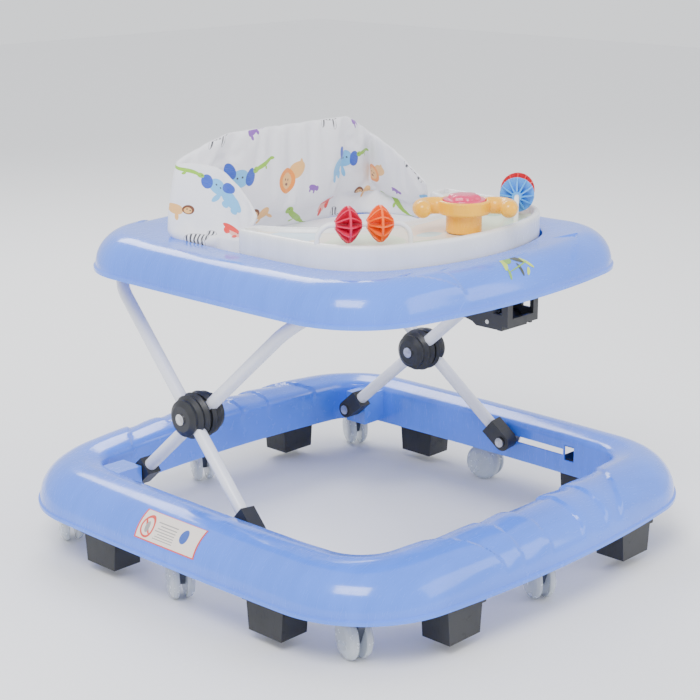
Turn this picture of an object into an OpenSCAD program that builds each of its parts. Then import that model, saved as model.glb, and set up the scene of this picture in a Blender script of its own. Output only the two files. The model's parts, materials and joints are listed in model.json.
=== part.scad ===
// Baby walker: a base ring on eight casters, a scissor frame of two bent tubes,
// and an upper ring that carries the play tray, its toys and the fabric seat.
// +Z is up, the front faces -Y, and the child's right hand is at -X.
// The origin is on the floor, under the middle of the base ring.

/* [Base ring] */
// Outside width of the base ring
base_w = 665; // [550:1:800]
// Outside length of the base ring
base_l = 680; // [560:1:820]
// Corner radius of the base ring
base_corner = 134; // [110:1:165]
// How far the front and rear edges bow out
base_bow = 12; // [8:1:16]
// Width of the base ring's channel
base_band = 82; // [72:1:98]
// Height of the base ring's lower edge above the floor
base_lip_z = 61; // [58:1:68]
// Height of the base ring's crown above the floor
base_top_z = 115; // [108:1:130]
// Wall of both moulded rings
ring_wall = 2.5; // [2:0.1:3.2]

/* [Upper ring] */
// Outside width of the upper ring
ring_w = 521; // [430:1:630]
// Outside length of the upper ring
ring_l = 547; // [450:1:660]
// Corner radius of the upper ring
ring_corner = 106; // [85:1:130]
// Height of the upper ring from its lower edge to its crown
ring_h = 44; // [38:1:54]
// Width of the upper ring's band at each side
band_side = 70.5; // [64:0.5:86]
// Width of the band at the front
band_front = 58; // [56:0.5:72]
// Width of the band at the rear
band_rear = 73; // [64:0.5:88]
// Depth of the ledge below the rim
ledge_depth = 19; // [14:1:24]
// Width of the ledge that carries the tray and the seat
ledge_w = 15; // [12:1:18]

/* [Scissor frame] */
// Outside diameter of the frame tubes
tube_d = 16; // [14:0.5:19.5]
// Wall of the frame tubes
tube_wall = 1.2; // [1:0.1:2]
// Distance from a foot pivot to the hub
leg_low = 169.1; // [150:0.1:185]
// Distance from the hub to a crossbar
leg_high = 236; // [210:0.5:260]
// Angle of the tubes above level when the walker stands open
open_angle = 41.2; // [36:0.1:44]
// Angle of the tubes above level when it is folded
fold_angle = 8; // [8:0.5:12]
// Bend radius of the tubes
bend_r = 58; // [45:1:75]
// Height of the foot pivots above the floor
foot_z = 85.6; // [80:0.1:92]
// Distance from the rear inner wall of the base to the rear feet
foot_in = 57; // [48:1:70]
// Diameter of the foot pins
pin_d = 8; // [6:0.5:9.6]
// Radius of the hub covers
hub_r = 29; // [26:0.5:34]
// Height of the crossbars below the upper ring's lower edge
bar_drop = 7.4; // [6:0.2:10]
// Distance from the rear edge of the upper ring to the rear crossbar
bar_in = 29.5; // [26:0.5:34]

/* [Casters and stoppers] */
// Diameter of the caster wheels
wheel_d = 50; // [44:1:52]
// Thickness of each caster disc
disc_t = 11; // [9:0.5:13]
// Thickness of the fork between the discs
fork_t = 8; // [6:0.5:9.6]
// Distance from the swivel axis to the wheel axle
trail = 14; // [10:1:17]
// Diameter of the caster stems
stem_d = 9; // [7:0.5:10.8]
// Length of a stopper
stop_l = 62; // [50:1:76]
// Width of a stopper
stop_w = 40; // [34:1:48]
// Gap between the stoppers and the floor
stop_gap = 13; // [9:1:16]

/* [Tray and toys] */
// Height of the tray's rim above the upper ring's rim
tray_rise = 27; // [20:1:34]
// Wall of the tray
tray_wall = 2.6; // [2:0.1:3.4]
// Clearance between the tray and the rim of the opening
tray_gap = 3; // [2:0.5:5]
// Depth of the printed floor below the tray's rim
tray_dish = 6; // [4:0.5:9]
// Distance from the front of the opening to the steering column
column_in = 40; // [36:1:48]
// Diameter of the steering column
column_d = 42; // [36:1:50]
// Distance between the two feet of a toy arch
arch_span = 106; // [96:1:120]
// Diameter of the toy arch rods
rod_d = 6; // [5:0.1:7.2]
// Height of the toy arches above the printed floor
arch_h = 25.6; // [24.5:0.1:34]
// Diameter of the spinners
spinner_d = 42; // [36:1:46]
// Length of the spinners along the rod
spinner_l = 30; // [24:1:32]
// Travel of the horn button
horn_travel = 3; // [2:0.5:4]

/* [Seat] */
// Height of the seat back above the upper ring's lower edge
seat_rise = 163; // [130:1:195]
// Thickness of the padded seat walls
seat_t = 14; // [11:1:17]
// Distance from the rear of the opening to the seat back
seat_in = 66; // [50:1:75]
// Depth of the seat sling below the ledge
sling_drop = 122; // [100:1:146]
// Width of the panel between the legs
crotch_w = 110; // [90:1:132]

/* [Hidden] */
$fn = 48;
joint_w = 2;           // width of the bands over the joints between arcs
joint_proud = 0.04;    // how far those bands stand proud
fit = 0.05;            // radial play of a running fit
play = 0.5;            // clearance between bodies that pass each other
side_bow_r = 6000;     // radius of the nearly straight long sides
base_hw = base_w / 2;
base_hl = base_l / 2;
lip_h = 4;             // flange at the lower edge of both rings
lip_t = 2.5;
rim_drop = 6;          // inner rim of the base below its crown
wall_bottom_z = base_lip_z - 5;
inner_hw = base_hw - base_band;
inner_hl = base_hl - base_band;
mid_in = base_band / 2;
tube_r = tube_d / 2;

// Outline: [half width, half length, side radius, end radius, corner radius, centre y]
chord = base_hw - base_corner;
base_line = [base_hw, base_hl, side_bow_r, chord * chord / (2 * base_bow), base_corner, 0];

// Scissor: feet, hub and crossbars in the side plane
foot_y = inner_hl - foot_in;
hub_y = foot_y - leg_low * cos(open_angle);
hub_z = foot_z + leg_low * sin(open_angle);
slide_y = foot_y - 2 * leg_low * cos(open_angle);
slide_end_y = foot_y - 2 * leg_low * cos(fold_angle);
bar_z = hub_z + leg_high * sin(open_angle);
rear_bar_y = hub_y + leg_high * cos(open_angle);
front_bar_y = hub_y - leg_high * cos(open_angle);
leg_l = leg_low + leg_high;
fold_shift = (leg_high - leg_low) * (cos(fold_angle) - cos(open_angle));
front_bar_end_y = foot_y - leg_l * cos(fold_angle) - fold_shift;

// Where the legs stand, measured from the middle of the walker
hub_x = inner_hw - 43.9;
outer_leg_x = hub_x + 1 + tube_r;
inner_leg_x = hub_x - 1 - tube_r;
cap_t = 20;
outer_foot_x = inner_hw - 16.5;
inner_foot_x = inner_leg_x - 2.6;
cap_r = 12;
cap_l = 30;
socket_in = pin_d / 2 + 5;     // start of the tube, measured from the foot pivot
bar_clear = 0.3;

// Upper ring
ring_z = bar_z + bar_drop;
rim_z = ring_z + ring_h;
ledge_z = rim_z - ledge_depth;
ring_hw = ring_w / 2;
ring_hl = ring_l / 2;
ring_y = rear_bar_y + bar_in - ring_hl;
ring_front_y = ring_y - ring_hl;
open_hw = ring_hw - band_side;
open_hl = (ring_l - band_front - band_rear) / 2;
open_y = ring_y + (band_front - band_rear) / 2;
open_front_y = open_y - open_hl;
open_rear_y = open_y + open_hl;
open_corner = 105;
ring_line = [ring_hw, ring_hl, side_bow_r, 900, ring_corner, ring_y];
open_line = [open_hw, open_hl, 3000, 330, open_corner, open_y];
skirt_z = ring_z + 7;
crown_in = 39;
strip_w = 18;

// Tray
tray_top_z = rim_z + tray_rise;
floor_z = tray_top_z - tray_dish;
tray_end_y = open_y + 20;
belly_r = 160;
belly_in = 118;         // depth of the tray from its front to the belly curve
belly_y = open_front_y + belly_in + belly_r;
column_y = open_front_y + column_in;
bezel = 9;

// Toy arches: middle of the chord, measured from the corner of the opening
arch_x = open_hw - 52.5;
arch_y = open_front_y + 70;
arch_turn = 37;
arch_bend = 17;
bar_top_z = floor_z + arch_h;
spinner_at = 18;
rod_r = rod_d / 2;

// Steering wheel
wheel_z = floor_z + 32;
wheel_turn = -46;
post_r = 7;
horn_r = 25;
spring_r = 6;
spring_wire = 1;
button_spring_z = wheel_z - horn_travel - 1.5;

// Adjuster bracket
brk_hw = 28;
brk_t = 4;
brk_top_z = skirt_z - 1;
brk_bottom_z = bar_z - 26;
brk_front_y = min(ring_front_y + 8, front_bar_end_y - 26);
brk_rear_y = front_bar_y + 14;
slot_half = tube_r + bar_clear;
lever_y = brk_front_y + 30;
lever_z = brk_bottom_z + 7;
lever_hw = brk_hw - brk_t - play;
lever_pin_r = 2.5;

// Seat
seat_gap = 17;          // the seat walls stand this far inside the opening
seat_hw = open_hw - seat_gap;
seat_rear_y = open_rear_y - seat_in;
seat_top_z = ring_z + seat_rise;
back_lean = 9;
wing_end_y = tray_end_y + 3;
wing_top_z = seat_top_z - 26;
wing_low_z = tray_top_z + 6;
sling_t = 3;
sling_top_z = ledge_z - 3;
sling_band = 60;
sling_bottom_z = ledge_z - sling_drop;
sling_hw = open_hw - ledge_w - 12;
sling_front_y = belly_y - belly_r + 1;
hook_x = 55;
hook_y = sling_front_y - 6;

// Casters: [x, y] of each swivel axis, and the yaw of the fork at rest
corner_mid = corner_centre(base_line) + (base_corner - mid_in) * [0.766, 0.643];
caster_at = [
    [-corner_mid.x, -corner_mid.y], [0, mid_in - base_hl], [corner_mid.x, -corner_mid.y],
    [mid_in - base_hw, 10], [base_hw - mid_in, 10],
    [-corner_mid.x, corner_mid.y], [0, base_hl - mid_in], [corner_mid.x, corner_mid.y]];
caster_yaw = [68, 60, 60, 60, 103, 60, 60, 60];
stem_top_z = base_lip_z + 26;
socket_r = stem_d / 2 + 5;
axle_r = 2.5;

// Stoppers: distance of each pair from the middle of its side
stop_x = base_hw - base_corner - 34;
stop_rear_y = base_hl - base_corner - 66;
stop_front_y = base_hl - base_corner - 56;

function corner_centre(o) =
    let (sx = o[0] - o[2], ey = o[1] - o[3], a = o[2] - o[4], b = o[3] - o[4],
         d = norm([sx, ey]), along = (a * a - b * b + d * d) / (2 * d),
         off = sqrt(a * a - along * along), u = [-sx, ey] / d)
    [sx, 0] + along * u + off * [-u.y, u.x];

function side_half(o) = let (c = corner_centre(o)) atan2(c.y, c.x - (o[0] - o[2]));
function end_start(o) = let (c = corner_centre(o)) atan2(c.y - (o[1] - o[3]), c.x);

// Points of one arc
function arc(c, r, a0, a1, n) = [for (i = [0:n]) c + r * [cos(a0 + (a1 - a0) * i / n), sin(a0 + (a1 - a0) * i / n)]];

// A quarter of the outline as points, set in by t
function quarter(o, t, n) =
    let (c = corner_centre(o), s = side_half(o), e = end_start(o))
    concat(arc([o[0] - o[2], 0], o[2] - t, 0, s, 2), arc(c, o[4] - t, s, e, n), arc([0, o[1] - o[3]], o[3] - t, e, 90, 4));

function outline(o, t, n = 10) =
    let (q = quarter(o, t, n), m = len(q) - 1)
    concat([for (i = [0:m]) q[i] + [0, o[5]]], [for (i = [m:-1:0]) [-q[i].x, q[i].y + o[5]]],
           [for (i = [0:m]) [-q[i].x, o[5] - q[i].y]], [for (i = [m:-1:0]) [q[i].x, o[5] - q[i].y]]);

// Points of a quarter ellipse that rises from p to q
function swell(p, q, n) = [for (i = [0:n]) [p.x + (q.x - p.x) * (1 - cos(90 * i / n)), p.y + (q.y - p.y) * sin(90 * i / n)]];

// One arc of a swept ring, whose section is drawn as [distance in from the outline, z]
module sweep_arc(c, r, a0, a1) {
    translate([c.x, c.y, 0])
        rotate_extrude(angle = a1 - a0, start = a0, $fn = 10 * sqrt(r))
            translate([r, 0])
                mirror([1, 0])
                    children();
}

// A slightly proud band over the joint between two arcs, at angle a of the arc round c
module joint_band(c, r, a) {
    translate([c.x, c.y, 0]) rotate([0, 0, a]) translate([r, joint_w / 2, 0]) rotate([90, 0, 0])
        linear_extrude(joint_w)
            mirror([1, 0]) offset(delta = joint_proud) children();
}

// A section swept round an outline of eight tangent arcs
module ring_sweep(o) {
    c = corner_centre(o);
    s = side_half(o);
    e = end_start(o);
    translate([0, o[5], 0]) {
        both_sides() {
            sweep_arc([o[0] - o[2], 0], o[2], -s, s) children();
            sweep_arc(c, o[4], s, e) children();
            sweep_arc([c.x, -c.y], o[4], -e, -s) children();
            joint_band(c, o[4], s) children();
            joint_band(c, o[4], e) children();
            joint_band([c.x, -c.y], o[4], -s) children();
            joint_band([c.x, -c.y], o[4], -e) children();
        }
        sweep_arc([0, o[1] - o[3]], o[3], e, 180 - e) children();
        sweep_arc([0, o[3] - o[1]], o[3], 180 + e, 360 - e) children();
    }
}

// The inside of a section is cut away, open at the bottom
module hollow(points) {
    difference() {
        polygon(points);
        for (d = [0, 2 * ring_wall])
            translate([0, -d])
                offset(delta = -ring_wall) polygon(points);
    }
}

module both_sides() {
    children();
    mirror([1, 0, 0]) children();
}

module x_rod(x0, x1, r) {
    translate([x0, 0, 0]) rotate([0, 90, 0]) cylinder(r = r, h = x1 - x0);
}

// ---- Base ring ----

base_section = concat(
    [[0, base_lip_z], [0, base_lip_z + lip_h]],
    swell([lip_t, base_lip_z + lip_h + 1.5], [base_band - 24, base_top_z], 6),
    [[base_band - 12, base_top_z - 3], [base_band - 3, base_top_z - rim_drop],
     [base_band, base_top_z - rim_drop - 3], [base_band, wall_bottom_z]]);

module base_shell() {
    ring_sweep(base_line) hollow(base_section);
}

module foot_block() {
    block_in = inner_foot_x + cap_t / 2 + play;
    difference() {
        translate([block_in, foot_y - 19, foot_z - 25])
            cube([inner_hw - block_in - 1, 38, 45]);
        translate([0, foot_y, foot_z]) x_rod(block_in - 1, block_in + 26, pin_d / 2);
    }
}

// Slot in the side wall for the front foot to slide in, with its assembly hole at the front
module slide_slot() {
    h = pin_d / 2 + bar_clear;
    y1 = slide_y + 1.2;
    y0 = slide_end_y - 6;
    for (y = [y0, y1])
        translate([0, y, foot_z]) x_rod(inner_hw - 8, inner_hw + 6, h);
    translate([inner_hw - 8, y0, foot_z - h]) cube([14, y1 - y0, 2 * h]);
    translate([inner_hw - 8, y0 - 18, foot_z - 2.5 * h]) cube([14, 16, 5 * h]);
}

module caster_socket() {
    translate([0, 0, base_lip_z + 2])
        difference() {
            cylinder(r = socket_r, h = base_top_z - 7 - base_lip_z - 2);
            translate([0, 0, -1]) cylinder(r = stem_d / 2 + fit, h = stem_top_z - base_lip_z);
        }
}

// Post that joins a stopper's neck to the crown
module stopper_post(depth) {
    z0 = base_lip_z + 30;
    translate([-8, -8, z0]) cube([16, 16, base_top_z - depth - z0]);
}

module base_ring() color("cornflowerblue") {
    difference() {
        union() {
            base_shell();
            both_sides() foot_block();
        }
        both_sides() slide_slot();
    }
    for (p = caster_at)
        translate([p.x, p.y, 0]) caster_socket();
    both_sides() {
        for (y = [mid_in - base_hl + 2, base_hl - mid_in - 2])
            translate([stop_x, y, 0]) stopper_post(10);
        for (y = [-stop_front_y, stop_rear_y])
            translate([base_hw - mid_in - 1, y, 0]) stopper_post(7);
    }
}

// Thin printed sheet that follows the slope of a swept section between two insets
module wrap(points, t0, t1) {
    intersection() {
        difference() {
            offset(delta = 0.3) polygon(points);
            polygon(points);
        }
        translate([t0, points[0].y + 6]) square([t1 - t0, 60]);
    }
}

module warning_label() color("seashell")
    mirror([1, 0, 0])
        sweep_arc([base_hw - side_bow_r, 0], side_bow_r, -0.5, 0.5)
            wrap(base_section, 5, 32);

module rear_foot_pins() color("silver")
    both_sides()
        translate([0, foot_y, foot_z]) {
            x_rod(inner_foot_x - cap_t / 2 - 2.5, inner_foot_x + cap_t / 2 + 20, pin_d / 2 - fit);
            x_rod(inner_foot_x - cap_t / 2 - 2.5, inner_foot_x - cap_t / 2 - play, pin_d / 2 + 2.5);
        }

// A tapered friction block with a step and a notch, centred on its own origin
module stopper() {
    top = base_lip_z + 8;
    difference() {
        rotate([90, 0, 0])
            translate([0, 0, -stop_w / 2])
                linear_extrude(stop_w)
                    polygon([[-stop_l / 2 + 5, stop_gap], [stop_l / 2 - 5, stop_gap], [stop_l / 2 - 2, base_lip_z - 14],
                             [stop_l / 2 + 5, base_lip_z - 14], [stop_l / 2 + 5, base_lip_z - 2], [stop_l / 2, top],
                             [-stop_l / 2, top]]);
        translate([stop_l / 2 - 12, -stop_w / 4, base_lip_z - 22]) cube([20, stop_w / 2, 6]);
    }
    translate([-8, -8, top]) cube([16, 16, 22]);
}

module stoppers_front() color("#222222")
    for (x = [-stop_x, stop_x])
        translate([x, mid_in - base_hl + 2, 0]) stopper();

module stoppers_rear() color("#222222")
    for (x = [-stop_x, stop_x])
        translate([x, base_hl - mid_in - 2, 0]) stopper();

module side_stoppers() {
    translate([base_hw - mid_in - 1, stop_rear_y, 0]) rotate([0, 0, 90]) stopper();
    translate([base_hw - mid_in - 1, -stop_front_y, 0]) rotate([0, 0, 90]) stopper();
}

module stoppers_right() color("#222222") mirror([1, 0, 0]) side_stoppers();
module stoppers_left() color("#222222") side_stoppers();

// ---- Scissor frame ----

// A solid rod along a bent tube: its foot pivot is at height 0 and its crossbar at height leg_l
module bent_rod(foot_x, lean, r) {
    start_x = foot_x - socket_in * sin(lean);
    start_z = socket_in * cos(lean);
    centre_z = leg_l - bend_r;
    straight = (centre_z + bend_r * sin(lean) - start_z) / cos(lean);
    centre_x = start_x - straight * sin(lean) - bend_r * cos(lean);
    both_sides() {
        translate([start_x, 0, start_z]) rotate([0, -lean, 0]) cylinder(r = r, h = straight);
        translate([centre_x, 0, centre_z]) {
            rotate([90, 0, 0])
                rotate_extrude(angle = 90 - lean, start = lean) translate([bend_r, 0]) circle(r);
            rotate([0, -lean, 0]) translate([bend_r, 0, -joint_w / 2]) cylinder(r = r + joint_proud, h = joint_w);
            translate([0, 0, bend_r]) x_rod(-joint_w / 2, joint_w / 2, r + joint_proud);
        }
    }
    translate([0, 0, leg_l]) x_rod(-centre_x, centre_x, r);
}

// A whole bent tube with the holes for the hub rivets
module bent_tube(foot_x, lean, rivet_play) {
    difference() {
        bent_rod(foot_x, lean, tube_r);
        bent_rod(foot_x, lean, tube_r - tube_wall);
        both_sides() translate([0, 0, leg_low]) x_rod(hub_x - 30, hub_x + 30, pin_d / 2 + rivet_play);
    }
}

module foot_cap(foot_x, lean) {
    difference() {
        translate([foot_x, 0, 0]) rotate([0, -lean, 0]) {
            x_rod(-cap_t / 2, cap_t / 2, cap_r);
            translate([-cap_t / 2, -cap_r, 0]) cube([cap_t, 2 * cap_r, cap_l]);
        }
        x_rod(foot_x - cap_t, foot_x + cap_t, pin_d / 2);
        translate([foot_x, 0, 0]) rotate([0, -lean, 0])
            translate([0, 0, socket_in]) cylinder(r = tube_r, h = cap_l);
    }
}

outer_lean = atan((outer_foot_x - outer_leg_x) / leg_low);
inner_lean = atan((inner_foot_x - inner_leg_x) / leg_low);

// Stand a frame up: its own Z runs from the foot pivot to the crossbar
module stand_inner() {
    translate([0, foot_y, foot_z]) rotate([90 - open_angle, 0, 0]) children();
}

module stand_outer() {
    translate([0, slide_y, foot_z]) rotate([open_angle - 90, 0, 0]) children();
}

module inner_tube() color("whitesmoke")
    stand_inner() bent_tube(inner_foot_x, inner_lean, fit);

module rear_foot_caps() color("#222222")
    stand_inner() both_sides() foot_cap(inner_foot_x, inner_lean);

module outer_tube() color("whitesmoke")
    stand_outer() bent_tube(outer_foot_x, outer_lean, 0);

module slide_foot_caps() color("#222222")
    stand_outer() both_sides() foot_cap(outer_foot_x, outer_lean);

module slide_pins() color("silver")
    stand_outer() both_sides() {
        x_rod(outer_foot_x - cap_t / 2 - 2, inner_hw + 7, pin_d / 2);
        x_rod(outer_foot_x - cap_t / 2 - 4, outer_foot_x - cap_t / 2 - 1.4, pin_d / 2 + 2.5);
        x_rod(inner_hw + 4, inner_hw + 7, pin_d / 2 + 4);
    }

// Ridged cover that closes one side of a hub; x0 is its face at the joint
hub_depth = 26;
hub_ribs = 3;
hub_curve = [for (i = [0:2 * hub_ribs]) let (f = i / (2 * hub_ribs))
    [hub_depth * f, (hub_r - 3) * sqrt(1 - 0.62 * f * f) + (i % 2 == 1 ? 3 : 0)]];

module hub_cover() {
    rotate([0, 90, 0])
        rotate_extrude()
            polygon(concat([[0, 0]], [for (p = hub_curve) [p.y, p.x]], [[0, hub_depth]]));
}

module hub_bores(leg_x, lean, foot_x) {
    x_rod(hub_x - 60, hub_x + 60, pin_d / 2);
    translate([foot_x, 0, -leg_low]) rotate([0, -lean, 0]) cylinder(r = tube_r, h = 2 * leg_low);
}

module hub_outer() {
    stand_outer() translate([0, 0, leg_low]) difference() {
        translate([hub_x, 0, 0]) hub_cover();
        hub_bores(outer_leg_x, outer_lean, outer_foot_x);
    }
}

module hub_inner() {
    stand_inner() translate([0, 0, leg_low]) difference() {
        translate([hub_x - 3, 0, 0]) mirror([1, 0, 0]) hub_cover();
        x_rod(hub_x - 60, hub_x + 60, pin_d / 2 + fit);
        hub_bores(inner_leg_x, inner_lean, inner_foot_x);
    }
}

module hub_outer_right() color("#222222") mirror([1, 0, 0]) hub_outer();
module hub_outer_left() color("#222222") hub_outer();
module hub_inner_right() color("#222222") mirror([1, 0, 0]) hub_inner();
module hub_inner_left() color("#222222") hub_inner();

module hub_rivets() color("silver")
    translate([0, hub_y, hub_z]) both_sides() {
        x_rod(hub_x - 3 - hub_depth - 2.4, hub_x + hub_depth + 2, pin_d / 2);
        x_rod(hub_x + hub_depth, hub_x + hub_depth + 2, pin_d / 2 + 3);
        x_rod(hub_x - 3 - hub_depth - 2.4, hub_x - 3 - hub_depth - play, pin_d / 2 + 3);
    }

// ---- Upper ring ----

ring_rise = concat(
    [[0, ring_z], [0, ring_z + lip_h]],
    swell([lip_t, ring_z + lip_h + 1.5], [crown_in, rim_z], 6),
    [[crown_in + strip_w, rim_z], [crown_in + strip_w, ring_z]]);

// The outer skin, one wall thick and open underneath and towards the middle
module outer_skin() {
    difference() {
        polygon(ring_rise);
        for (d = [0, 2 * ring_wall])
            translate([0, -d])
                offset(delta = -ring_wall) polygon(ring_rise);
        translate([crown_in, ring_z - 1]) square([strip_w + 1, ring_h + 1 - ring_wall]);
    }
}

// The rim, its inside wall, the ledge and the skirt below it; negative is towards the middle
module inner_skin() {
    polygon([[-strip_w, rim_z], [0, rim_z], [0, ledge_z], [ledge_w, ledge_z], [ledge_w, skirt_z],
             [ledge_w - ring_wall, skirt_z], [ledge_w - ring_wall, ledge_z - ring_wall],
             [-ring_wall, ledge_z - ring_wall], [-ring_wall, rim_z - ring_wall], [-strip_w, rim_z - ring_wall]]);
}

module bridge_plate() {
    translate([0, 0, rim_z - ring_wall]) linear_extrude(ring_wall)
        difference() {
            polygon(outline(ring_line, crown_in + strip_w / 2));
            polygon(outline(open_line, -strip_w / 2));
        }
}

clip_x = 72;
clip_w = 24;
boss_z = ring_z + 12;
screw_r = 2;
screw_head = 3.6;
screw_head_h = 2.4;
front_boss_y = brk_front_y + 22;

module ring_bosses() {
    both_sides() {
        translate([clip_x - clip_w / 2, rear_bar_y - 10, boss_z])
            cube([clip_w, 20, rim_z - 8 - boss_z]);
        translate([12, front_boss_y - 8, brk_top_z])
            cube([16, 16, rim_z - 9 - brk_top_z]);
    }
}

module upper_ring() color("cornflowerblue") {
    difference() {
        union() {
            ring_sweep(ring_line) outer_skin();
            ring_sweep(open_line) inner_skin();
            bridge_plate();
            ring_bosses();
        }
        both_sides() {
            translate([20, front_boss_y, brk_top_z - 1]) cylinder(r = screw_r, h = 14);
            translate([clip_x, rear_bar_y, boss_z - 1]) cylinder(r = screw_r, h = 14);
            translate([open_hw - 8, open_y - 20, ledge_z - 6]) cylinder(r = screw_r, h = 8);
        }
    }
}

module rear_clip() {
    wrap_z = bar_z - tube_r - 4;
    difference() {
        translate([clip_x - clip_w / 2, rear_bar_y - 12, wrap_z]) cube([clip_w, 24, boss_z - wrap_z]);
        translate([0, rear_bar_y, bar_z]) x_rod(clip_x - clip_w, clip_x + clip_w, tube_r + fit);
        translate([clip_x - clip_w, rear_bar_y - tube_r * 0.6, wrap_z - 1]) cube([2 * clip_w, tube_r * 1.2, 6]);
        translate([clip_x, rear_bar_y, bar_z]) cylinder(r = screw_r, h = 30);
        translate([clip_x, rear_bar_y, bar_z]) cylinder(r = screw_head + 0.2, h = tube_r + fit + screw_head_h);
    }
}

module rear_clip_right() color("#222222") mirror([1, 0, 0]) rear_clip();
module rear_clip_left() color("#222222") rear_clip();

// ---- Adjuster bracket ----

module crossbar_track() {
    y0 = front_bar_end_y - 2;
    y1 = front_bar_y + play;
    for (y = [y0, y1])
        translate([0, y, bar_z]) x_rod(-brk_hw - 1, brk_hw + 1, slot_half);
    translate([-brk_hw - 1, y0, bar_z - slot_half]) cube([2 * brk_hw + 2, y1 - y0, 2 * slot_half]);
}

module notches() {
    step = (front_bar_y - front_bar_end_y) / 4;
    for (k = [1:2])
        translate([0, front_bar_y - k * step, bar_z - 4.5]) x_rod(-brk_hw - 1, brk_hw + 1, tube_r);
}

module adjuster_bracket() color("#222222")
    difference() {
        rotate([90, 0, 90])
            translate([0, 0, -brk_hw])
                linear_extrude(2 * brk_hw)
                    polygon([[brk_rear_y, brk_top_z], [brk_rear_y, bar_z - tube_r - 5], [brk_front_y + 78, bar_z - tube_r - 8],
                             [brk_front_y + 52, brk_bottom_z + 4], [brk_front_y + 46, brk_bottom_z], [brk_front_y + 8, brk_bottom_z],
                             [brk_front_y + 8, brk_bottom_z + 5], [brk_front_y, brk_bottom_z + 5], [brk_front_y, brk_top_z]]);
        crossbar_track();
        notches();
        // room between the side plates, open at the bottom for the lever
        translate([brk_t - brk_hw, brk_front_y + brk_t, brk_bottom_z - 1])
            cube([2 * (brk_hw - brk_t), brk_rear_y - brk_front_y - 2 * brk_t, bar_z - brk_bottom_z + tube_r]);
        // front window
        translate([-brk_hw + 9, brk_front_y - 1, bar_z - 12]) cube([2 * brk_hw - 18, brk_t + 2, 16]);
        // side windows
        translate([-brk_hw - 1, brk_front_y + 9, bar_z - 8]) cube([2 * brk_hw + 2, 12, 13]);
        translate([0, lever_y, lever_z]) x_rod(-brk_hw - 1, brk_hw + 1, lever_pin_r);
        both_sides() translate([20, front_boss_y, bar_z]) cylinder(r = screw_r, h = 30);
    }

// Release lever: a plate with a finger lip at the front and a tooth behind the crossbar's track
module release_lever() color("#222222")
    difference() {
        rotate([90, 0, 90])
            translate([0, 0, -lever_hw])
                linear_extrude(2 * lever_hw)
                    polygon([[lever_y - 18, lever_z - 9], [lever_y - 12, lever_z - 9], [lever_y - 6, lever_z - 4],
                             [lever_y + 26, lever_z - 3], [lever_y + 40, lever_z + 1],
                             [lever_y + 40, lever_z + 5], [lever_y + 34, lever_z + 5], [lever_y + 24, lever_z + 2],
                             [lever_y + 5, lever_z + 5], [lever_y - 5, lever_z + 5], [lever_y - 18, lever_z - 5]]);
        translate([0, lever_y, lever_z]) x_rod(-lever_hw - 1, lever_hw + 1, lever_pin_r + fit);
        translate([-8, lever_y - 7, lever_z - 7]) cube([16, 14, 20]);
    }

module lever_pin() color("silver")
    translate([0, lever_y, lever_z]) x_rod(-brk_hw, brk_hw, lever_pin_r);

module lever_spring() color("silver")
    translate([0, lever_y, lever_z])
        for (k = [-2:2])
            translate([k * 2.4, 0, 0]) rotate([0, 90, 0])
                rotate_extrude() translate([lever_pin_r + 1.6, 0]) circle(0.8);

// Screws that hold the bracket, the clips and the tray from below
module screw(l) {
    cylinder(r = screw_head, h = screw_head_h);
    cylinder(r = screw_r, h = l);
}

module fixing_screws() color("silver")
    both_sides() {
        translate([20, front_boss_y, bar_z + tube_r - 1 - screw_head_h]) screw(14);
        translate([clip_x, rear_bar_y, bar_z + tube_r + fit]) screw(14);
        translate([open_hw - 8, open_y - 20, ledge_z - ring_wall - screw_head_h]) screw(12);
    }

module front_decal() color("yellowgreen")
    translate([0, ring_y, 0])
        sweep_arc([0, ring_line[3] - ring_hl], ring_line[3], 268, 272)
            wrap(ring_rise, 8, 34);

// ---- Play tray ----

module tray_shape(t) {
    difference() {
        polygon(outline(open_line, tray_gap + t, 14));
        translate([-open_hw - 1, tray_end_y - t]) square([2 * open_hw + 2, 2 * open_hl]);
        translate([0, belly_y]) circle(belly_r + t, $fn = 96);
    }
}

module tray_boss(x, y) {
    translate([x, y, ledge_z]) cylinder(r = 4.4, h = floor_z - ledge_z - 1);
}

module play_tray() color("white")
    difference() {
        union() {
            difference() {
                translate([0, 0, ledge_z]) linear_extrude(tray_top_z - ledge_z) tray_shape(0);
                translate([0, 0, ledge_z - 1]) linear_extrude(floor_z - tray_wall - ledge_z + 1) tray_shape(tray_wall);
                translate([0, 0, floor_z]) linear_extrude(tray_dish + 1) tray_shape(bezel);
            }
            both_sides() {
                tray_boss(open_hw - 8, open_y - 20);
                tray_boss(hook_x, hook_y);
            }
            translate([0, column_y, floor_z - tray_wall]) cylinder(r = post_r, h = 26 + tray_wall);
        }
        both_sides() {
            translate([open_hw - 8, open_y - 20, ledge_z - 1]) cylinder(r = screw_r, h = 12);
            place_arch() for (s = [-1, 1])
                translate([s * arch_span / 2, 0, floor_z - 20]) cylinder(r = rod_r, h = 40);
        }
    }

module tray_print() color("palegoldenrod")
    translate([0, 0, floor_z])
        linear_extrude(0.4)
            difference() {
                tray_shape(bezel + 0.4);
                translate([0, column_y]) circle(column_d / 2 + 1.5);
                for (m = [0, 1]) mirror([m, 0])
                    translate([arch_x, arch_y]) rotate(arch_turn)
                        for (s = [-1, 1]) translate([s * arch_span / 2, 0]) circle(rod_r + 0.5);
            }

module place_arch() {
    translate([arch_x, arch_y, 0]) rotate([0, 0, arch_turn]) children();
}

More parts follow.
